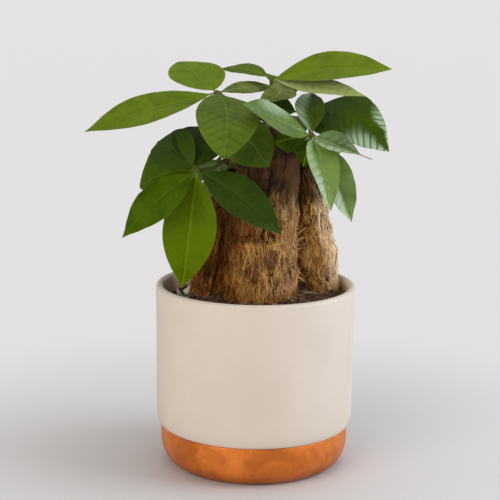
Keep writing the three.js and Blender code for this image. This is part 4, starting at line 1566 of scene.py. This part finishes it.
@dataclass(frozen=True)
class Leaflet:
    """One leaflet, from its leaf's hub to its tip."""

    tip: Point
    width: float
    face: Point  # the way that its upper side looks
    arch: float = 0.1  # share of the length that the rib bows towards face
    fold: float = 10  # degrees that each half is folded up along the rib
    wave: float = 0.8  # mm that the margin ripples
    look: LeafLook = LeafLook.DEEP
    tone: float = 0.5  # from 0, deep, to 1, fresh; set leaflet by leaflet, so it also holds painted light and shade
    curl: float = 0.0  # mm that the tip bends down
    quilt: float = 0.32  # mm that the blade rises between side veins
    bow: float = 0.0  # share of the length that the rib bows to the left
    lean: float = 0.0  # how much wider the left half is
    peak: float = 0.95  # under 1, the widest place is nearer the stalk
    full: float = 0.95  # under 1, the blade is rounder
    tail: float = 0.0  # share of the length that is a dried thread at the tip
    blunt: float = 0.25  # half-width of the very tip, in mm

    stalk: float = 4.0  # bare stalk before the blade
    neck: float = 0.9  # half-width of that stalk
    thick: float = 0.34  # thickness at the rib, in mm
    thinned: float = 0.2  # how much less it is at the margin
    groove: float = 0.45  # depth of the groove over the rib
    keel: float = 0.55  # how far the rib stands out beneath
    steps: int = 76
    columns: int = 26

    def outline(self, along: np.ndarray) -> np.ndarray:
        """Half-width share of the blade: sin(pi t^peak)^full, drawn in to a longer point at the tip.

        Args:
            along: Place along the blade, from 0 to 1.

        Returns:
            Shares of the half-width.
        """
        along = np.clip(along / (1 - self.tail), 0, 1)
        body = np.sin(np.pi * along**self.peak).clip(0, 1) ** self.full
        taper = 0.22 * min(1, max(0, (self.full - 0.7) / 0.25))
        return body * (1 - taper * step(along, 0.82, 0.97))

    def relief(self, x: np.ndarray, across: np.ndarray, half: np.ndarray, t: np.ndarray,
               length: float) -> np.ndarray:
        """How far the blade rises from its rib's line.

        It sums the fold, two ripples of the margin, pillows between side veins, which are a sine's size
        to a power, and the groove over the rib, which is a bell curve of x.

        Args:
            x: Distance from the rib in mm.
            across: Place across the blade, from -1 to 1.
            half: The blade's half-width in mm.
            t: Place along the leaflet, from 0 to 1.
            length: Its length in mm.

        Returns:
            The rise in mm.
        """
        rise = math.sin(math.radians(self.fold)) * np.abs(x)
        rise = rise + self.wave * across**2 * np.sin(t * 15 + 2 * across) * np.minimum(1, half / 8)
        rise = rise + 0.35 * self.wave * np.abs(across) ** 3 * np.sin(t * 43 + 5 * across)
        line = (t * length - (VEIN_SLANT + VEIN_BEND * np.abs(x)) * np.abs(x)) / VEIN_SPACING
        pillow = np.abs(np.sin(np.pi * line)) ** 0.7 - 0.6
        rise = rise + self.quilt * pillow * step(half, 2, 9) * (1 - 0.8 * np.abs(across) ** 3)
        return rise - self.groove * (np.exp(-((x / 1.1) ** 2)) * step(half, 1.2, 4))

    def skin(self, hub: Point) -> Skin:
        """The leaflet's closed skin.

        A point lies at hub + rib(t) + side * x * cos(fold) + up * relief(x, t), with x across the blade,
        and the two faces stand half a thickness apart.

        Args:
            hub: Where the leaflet starts.

        Returns:
            The skin, with the marks that a leaf finish reads.
        """
        reach = np.array(self.tip, float) - np.array(hub, float)
        length = float(np.linalg.norm(reach))
        along = reach / length
        face = np.array(self.face, float)
        out = unit(face - along * (face @ along))
        side = np.cross(out, along)
        t = (1 - np.cos(np.pi * np.linspace(0.0, 1, self.steps + 1))) / 2
        t = (0.6 * np.linspace(0.0, 1, self.steps + 1) + 0.4 * t)[:, None]
        even = np.linspace(-1, 1, self.columns + 1)
        across = np.sign(even) * np.abs(even) ** 1.25
        blade = np.clip((t * length - self.stalk) / (length - self.stalk), 0, 1)
        narrow = self.neck + (self.blunt - self.neck) * step(t, 0.5, 1)
        half = np.maximum(narrow, self.width / 2 * self.outline(blade))
        slope = self.arch * np.pi * np.cos(np.pi * t)
        up = unit(out - along * slope)
        rib = along * t * length + out * self.arch * length * np.sin(np.pi * t)
        rib = rib + side * self.bow * length * np.sin(np.pi * t)
        rib = rib - out * self.curl * step(t, 0.7, 1) ** 1.5
        x = across * half * (1 + self.lean * np.sign(across))
        rise = self.relief(x, across, half, t, length)
        thick = self.thick - self.thinned * np.abs(across) ** 4
        top = rise + thick / 2
        under = rise - thick / 2 - self.keel * np.exp(-((x / 0.8) ** 2)) * (1.1 - t)
        base = np.array(hub, float) + rib[:, None] + x[..., None] * side * math.cos(math.radians(self.fold))
        faces = [base + height[..., None] * up[:, None] for height in (top, under)]
        rings = np.concatenate([faces[0], faces[1][:, ::-1]], 1)[:, ::-1]
        place = np.stack([x, t * length + 0 * x, 0 * x], -1)
        place_along = blade / (1 - self.tail)
        share = np.stack([across + 0 * x, place_along + 0 * x, self.tone + 0 * x], -1)
        below = place + [0, 0, 1]
        marks = {
            "blade": np.concatenate([place, below[:, ::-1]], 1)[:, ::-1],
            "share": np.concatenate([share, share[:, ::-1]], 1)[:, ::-1],
        }
        return loft(rings, marks, self.look.number)


@dataclass
class Leaf:
    """A palmate leaf: a stalk from its foot at a shoot past a middle point to the hub, and leaflets that
    spread from there."""

    name: str
    node: str
    hub: Point
    foot: Point
    stalk: Point
    leaflets: tuple[Leaflet, ...]

    stem_radius: float = 1.15
    stem_swell: float = 1.1
    stem_steps: int = 40
    stem_sides: int = 14
    hub_radius: float = 2.3
    hub_flat: float = 0.8  # the hub's height, as a share of its width
    hub_sides: int = 24

    def stem(self) -> Skin:
        """The leaf stalk, thicker at both ends: radius + swell * (2s - 1)^6.

        Returns:
            The stalk's skin.
        """
        path = curve_through(self.foot, self.stalk, self.hub, self.stem_steps)[None]
        share = np.linspace(0, 1, self.stem_steps)[None]
        marks = np.zeros((1, self.stem_steps, 3))
        radius = self.stem_radius + self.stem_swell * (2 * share - 1) ** 6
        return tubes(path, radius, self.stem_sides, len(LeafLook), blade=marks, share=marks)

    def knuckle(self) -> Skin:
        """The hub: a flattened ball where the leaflets' stalks meet.

        Returns:
            The hub's skin.
        """
        rise = np.linspace(-np.pi / 2, np.pi / 2, 14)[1:-1, None]
        turn = full_turn(self.hub_sides)
        x, y = np.cos(rise) * np.cos(turn), np.cos(rise) * np.sin(turn)
        ball = np.stack([x, y, self.hub_flat * np.sin(rise) + 0 * turn], -1)
        rings = np.array(self.hub, float) + self.hub_radius * ball
        return loft(rings, {"blade": 0 * rings, "share": 0 * rings}, len(LeafLook))

    def build(self, finishes: Sequence[bpy.types.Material]) -> None:
        """Makes the leaf as one piece."""
        skins = [self.stem(), self.knuckle()] + [leaflet.skin(self.hub) for leaflet in self.leaflets]
        show(self.name, skins, finishes, [self.node], sharp=70)


YOUNG, OLD, BRIGHT, OLIVE, WAXY, GLOSSY, STREAKED, DEEP, SHINY, PLAIN = LeafLook
# A leaflet's look and tone were set to the brightness it shows where it hangs, so they hold painted light
# and shade besides its own green.
FOLIAGE = (
    Leaf(
        "foliage_upper_left",
        "leaf_upper_left",
        hub=(-30, -22, 282.5),
        foot=(12, 2, 250),
        stalk=(-7, -4, 266),
        leaflets=(
            Leaflet((-122.5, -45, 256), 34, (-0.1, -0.6, 0.9), 0.03, wave=0.2, look=YOUNG, tone=0.45,
                    lean=0.1, peak=1.05),
            Leaflet((-60, 22, 301), 42, (-0.05, -0.28, 1), 0.04, 0, 0.15, YOUNG, 0.6, lean=-0.03, full=0.7),
            Leaflet((9.5, 8, 285), 14.5, (0, -0.8, 1), 0.04, 0, 0.2, OLIVE, 0.0, peak=1.1, full=0.75),
            Leaflet((-22.5, -92, 247.5), 44, (0.05, 0, 1), 0.12, 5, 0.4, OLD, 0.55, curl=3, quilt=0.5,
                    bow=0.04, peak=1.3, full=0.72, blunt=3.4),
        ),
    ),
    Leaf(
        "foliage_upper_right",
        "leaf_upper_right",
        hub=(10, 0, 291),
        foot=(12, 4, 256),
        stalk=(9, 2, 276),
        leaflets=(
            Leaflet((96.5, -10, 300), 34, (0, -0.6, 0.9), 0.06, wave=0.2, look=YOUNG, tone=0.55, full=0.85),
            Leaflet((77, -30, 282), 24, (0.2, -0.6, 1), 0.03, 0, 0.3, OLIVE, 1.2, peak=0.8),
            Leaflet((0, -36, 276.5), 22, (0.2, -0.1, 1), 0.05, wave=0.4, look=OLIVE, tone=0.2, bow=0.27,
                    peak=1.1, lean=0.15),
            Leaflet((-29.5, 25, 296), 25, (0, -0.24, 1), 0.09, 0, 0.2, YOUNG, 0.15),
            Leaflet((26, 60, 271), 28, (0, 0, 1), 0.12, look=YOUNG, tone=0.3),
        ),
    ),
    Leaf(
        "foliage_middle_right",
        "leaf_middle_right",
        hub=(38.5, -38, 254.6),
        foot=(39.5, 16, 239),
        stalk=(42, -10, 249),
        leaflets=(
            Leaflet((-10.8, -74, 280), 36, (0.3, -0.6, 1), 0.0, 6, 0.4, SHINY, 0.5, lean=0.05),
            Leaflet((39.5, 10, 281), 24, (0, -0.6, 0.8), 0.04, 25, 0.4, STREAKED, 0.6, lean=0.15, peak=0.8),
            Leaflet((51.3, -72, 206), 24, (0.3, -1, 0.4), 0.06, 20, 0.4, WAXY, 0.85, lean=0.08, peak=0.66,
                    full=0.85),
            Leaflet((68, -45, 193.5), 27, (0.5, -1, 0.3), 0.06, 18, 0.5, WAXY, 0.75),
            Leaflet((80, -62, 241), 20, (0.2, -0.8, 0.9), 0.0, wave=0.3, look=WAXY, tone=0.3, lean=0.15,
                    peak=0.6, tail=0.2),
            Leaflet((33, -30, 231), 17, (-0.3, -1, 0.2), 0.05, look=BRIGHT, tone=0.3, peak=0.8),
            Leaflet((10.5, -31, 247.5), 26, (-0.3, -0.8, 0.7), 0.05, 10, 1.2, BRIGHT, 0.2, peak=0.75),
        ),
    ),
    Leaf(
        "foliage_right",
        "leaf_right",
        hub=(32, 15, 265),
        foot=(40, 14, 243),
        stalk=(38, 17, 255),
        leaflets=(
            Leaflet((96, -15, 240.5), 66, (0.4, -0.65, 0.9), 0.19, 0, 0.5, GLOSSY, 0.55, quilt=0.9,
                    lean=-0.02, peak=0.82, full=0.85),
            Leaflet((80, 40, 250), 30, (0.2, 0, 1), 0.08, wave=0.4, look=DEEP, tone=0.5),
            Leaflet((62, 66, 250), 30, (0, 0.2, 1), 0.14, look=DEEP, tone=0.6),
            Leaflet((-4, 36, 261), 27, (0, -1, 1), 0.1, wave=0.4, look=DEEP, tone=0.4),
        ),
    ),
    Leaf(
        "foliage_lower_left",
        "leaf_lower_left",
        hub=(-43, -38, 228.5),
        foot=(-23, -20, 234),
        stalk=(-33, -29, 229),
        leaflets=(
            Leaflet((-54, -30, 140), 39, (0.05, -1, 0.3), 0.08, 8, 0.3, BRIGHT, 1.0, peak=0.86),
            Leaflet((-95, -60, 183), 33, (-0.5, -1, 0.8), 0.07, wave=0.5, look=PLAIN, tone=0.6, lean=0.15),
            Leaflet((18, -52, 185), 34, (0.4, -1, 0.8), 0.08, wave=0.4, look=DEEP, tone=0.7, lean=-0.06,
                    peak=0.86),
            Leaflet((-87.5, 5, 209), 33, (-0.7, -0.7, 0.3), 0.05, wave=0.3, look=PLAIN, tone=0.5,
                    lean=-0.3, bow=-0.05, full=0.7),
            Leaflet((-74, 2, 243.5), 35, (-0.4, -0.8, 0.8), 0.15, wave=0.3, look=DEEP, tone=0.95,
                    peak=0.85),
            Leaflet((-41, 18, 254), 42, (0, -0.7, 0.8), 0.1, wave=0.3, look=DEEP, tone=0.5, peak=0.72),
        ),
    ),
    Leaf(
        "foliage_center",
        "leaf_center",
        hub=(-19, -20, 262.5),
        foot=(12, 1, 246),
        stalk=(-2, -14, 255),
        leaflets=(
            Leaflet((7.5, -42, 232), 41, (0.1, -0.8, 0.7), 0.08, wave=0.5, look=OLD, tone=0.3, lean=-0.22,
                    full=0.75),
            Leaflet((-34, -40, 252), 28, (0, -0.3, 1), 0.1, look=DEEP, tone=0.5),
        ),
    ),
    Leaf(
        "foliage_back_left",
        "leaf_back_left",
        hub=(-30, 56, 222),
        foot=(-18, 36, 231),
        stalk=(-24, 48, 231),
        leaflets=(
            Leaflet((-80, 72, 180), 36, (-0.3, 0.5, 1), 0.14, look=BRIGHT, tone=0.5),
            Leaflet((-58, 108, 190), 38, (0, 0.5, 1), 0.14, look=DEEP, tone=0.7),
            Leaflet((-2, 112, 188), 38, (0, 0.5, 1), 0.14, look=DEEP, tone=0.6),
            Leaflet((-72, 48, 218), 28, (0, 0.2, 1), 0.1, look=BRIGHT, tone=0.4),
            Leaflet((-28, 80, 150), 34, (0, 1, 0.4), 0.1, look=BRIGHT, tone=0.6),
        ),
    ),
    Leaf(
        "foliage_back_right",
        "leaf_back_right",
        hub=(53, 42, 238),
        foot=(39.5, 16, 240),
        stalk=(47, 30, 245),
        leaflets=(
            Leaflet((76, 80, 238), 32, (0.3, 0.4, 1), 0.12, look=WAXY, tone=0.5),
            Leaflet((58, 114, 212), 38, (0, 0.5, 1), 0.14, look=WAXY, tone=0.4),
            Leaflet((47, 76, 163), 28, (0, 1, 0.4), 0.1, look=DEEP, tone=0.7),
            Leaflet((16, 86, 190), 34, (-0.3, 1, 0.6), 0.1, look=DEEP, tone=0.6),
        ),
    ),
    Leaf(
        "foliage_back_top",
        "leaf_back_top",
        hub=(4, 44, 252),
        foot=(12, 5, 252),
        stalk=(9, 26, 257),
        leaflets=(
            Leaflet((-37, 48, 247), 28, (0, 0.2, 1), 0.1, look=BRIGHT, tone=0.5),
            Leaflet((-44, 86, 234), 34, (-0.2, 0.4, 1), 0.12, look=YOUNG, tone=0.2),
            Leaflet((-2, 122, 222), 36, (0, 0.4, 1), 0.12, look=BRIGHT, tone=0.7),
            Leaflet((38, 104, 236), 34, (0.1, 0.4, 1), 0.12, look=YOUNG, tone=0.3),
        ),
    ),
)


# ---------------------------------------------------------------- studio


@dataclass
class Studio:
    """A plain pale floor, soft lights, a pale sky and the photograph's camera."""

    target: Point = (-4.6, 0, 163)
    distance: float = 1100
    elevation: float = 11.5
    roll: float = 0.7
    lens: float = 105.6
    sensor: float = 36
    floor_radii: tuple[float, ...] = (1, 60, 150, 300, 600, 1500, 4000, 12000, 30000)
    floor_sides: int = 96
    floor_depth: float = 0.2  # how far the floor lies below the foot, in mm

    def floor(self) -> None:
        """A round floor of rings. It takes shadows round the planter, and gives off an even pale light of
        its own farther out, so that it has no edge."""
        sides = self.floor_sides
        turn = full_turn(sides)
        radius = np.array(self.floor_radii)[:, None]
        level = 0 * radius * turn - self.floor_depth
        skin = loft(np.stack([radius * np.cos(turn), radius * np.sin(turn), level], -1)[::-1])
        faces = skin.quads.tolist() + skin.tris[sides:].tolist()
        mesh = bpy.data.meshes.new("floor")
        mesh.from_pydata((skin.points * MM).tolist(), [], faces)
        r = Recipe("floor_pale", roughness=0.6)
        x, y, _ = r.split(r.place())
        far = r.math("SQRT", r.math("ADD", r.math("POWER", x, 2), r.math("POWER", y, 2)))
        share = r.ramp(far, 0.1, 0.42)
        r.fill(r.shader.inputs["Emission Color"], (0.745, 0.73, 0.74, 1))
        r.fill(r.shader.inputs["Emission Strength"], share)
        mesh.materials.append(r.done(r.mix(share, (0.66, 0.65, 0.655), (0, 0, 0)), Specular_IOR_Level=0.1))
        floor = bpy.data.objects.new("floor", mesh)
        bpy.context.scene.collection.objects.link(floor)
        floor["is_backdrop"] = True

    def lamp(self, name: str, place: Point, aim: Point, size: float, power: float, colour: Colour) -> None:
        """A square soft light.

        Args:
            name: Its name.
            place: Its middle, in metres.
            aim: The point that it faces, in metres.
            size: Its side, in metres.
            power: Its power, in watts.
            colour: Its colour.
        """
        data = bpy.data.lights.new(name, "AREA")
        data.shape, data.size, data.energy, data.color = "SQUARE", size, power, colour
        lamp = bpy.data.objects.new(name, data)
        back = unit(np.array(place, float) - np.array(aim, float))
        right = unit(np.cross([0, 0, 1], back))
        lamp.matrix_world = self.standing(right, np.cross(back, right), back, place)
        bpy.context.scene.collection.objects.link(lamp)

    @staticmethod
    def standing(right: np.ndarray, up: np.ndarray, back: np.ndarray, place: Sequence[float]) -> Matrix:
        """The matrix with these three axes at a place.

        Args:
            right: The x axis.
            up: The y axis.
            back: The z axis.
            place: The place.

        Returns:
            The matrix.
        """
        rows = np.eye(4)
        rows[:3] = np.stack([right, up, back, np.array(place, float)], -1)
        return Matrix(rows.tolist())

    def camera(self) -> None:
        """The camera at the photograph's angle, looking down by the elevation and rolled a little."""
        e, roll = math.radians(self.elevation), math.radians(self.roll)
        ahead = np.array([0, math.cos(e), -math.sin(e)])
        level, lift = np.array([1.0, 0, 0]), np.array([0, math.sin(e), math.cos(e)])
        right = math.cos(roll) * level + math.sin(roll) * lift
        up = math.cos(roll) * lift - math.sin(roll) * level
        data = bpy.data.cameras.new("camera")
        data.lens, data.sensor_width = self.lens, self.sensor
        data.clip_start, data.clip_end = 0.05, 100
        camera = bpy.data.objects.new("camera", data)
        place = (np.array(self.target, float) - self.distance * ahead) * MM
        camera.matrix_world = self.standing(right, up, -ahead, place)
        bpy.context.scene.collection.objects.link(camera)
        bpy.context.scene.camera = camera

    def build(self) -> None:
        """Sets floor, lights, sky, camera and plain colour handling."""
        self.floor()
        self.lamp("window", place=(1.5, -0.2, 0.7), aim=(0, 0, 0.17), size=1.1, power=20,
                  colour=(0.9, 0.94, 1.0))
        self.lamp("room", place=(-1.15, -1.65, 0.8), aim=(0, 0, 0.15), size=1.5, power=25,
                  colour=(1.0, 0.92, 0.82))
        self.lamp("ceiling", place=(0.1, 0.3, 1.7), aim=(0, 0, 0.2), size=1.3, power=9,
                  colour=(1.0, 0.99, 0.97))
        world = bpy.data.worlds.new("sky")
        world.use_nodes = True
        sky = world.node_tree.nodes["Background"]
        sky.inputs["Color"].default_value = (0.98, 0.98, 1.0, 1)
        sky.inputs["Strength"].default_value = 0.35
        bpy.context.scene.world = world
        bpy.context.scene.view_settings.view_transform = "Standard"
        self.camera()


# ---------------------------------------------------------------- the plant


def main() -> None:
    """Builds every piece in order and logs the sizes of the solids and of the dressed model."""
    logging.basicConfig(level=logging.INFO, format="%(message)s")
    Studio().build()
    Planter().build()
    Soil().build()
    bark = BarkFinish().material()
    for trunk in TRUNKS:
        trunk.build(bark)
    stem = StemFinish().material("young_stem", 0.6)
    for shoot in SHOOTS:
        shoot.build(stem)
    finishes = [look.value.material() for look in LeafLook]
    finishes.append(StemFinish().material("leaf_stalk", 0.35))
    for leaf in FOLIAGE:
        leaf.build(finishes)
    for name, box in (("CAD", CAD_BOX), ("visual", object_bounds())):
        LOG.info("%s box: %s", name, [tuple(round(v, 4) for v in corner) for corner in box])


if __name__ == "__main__":
    main()
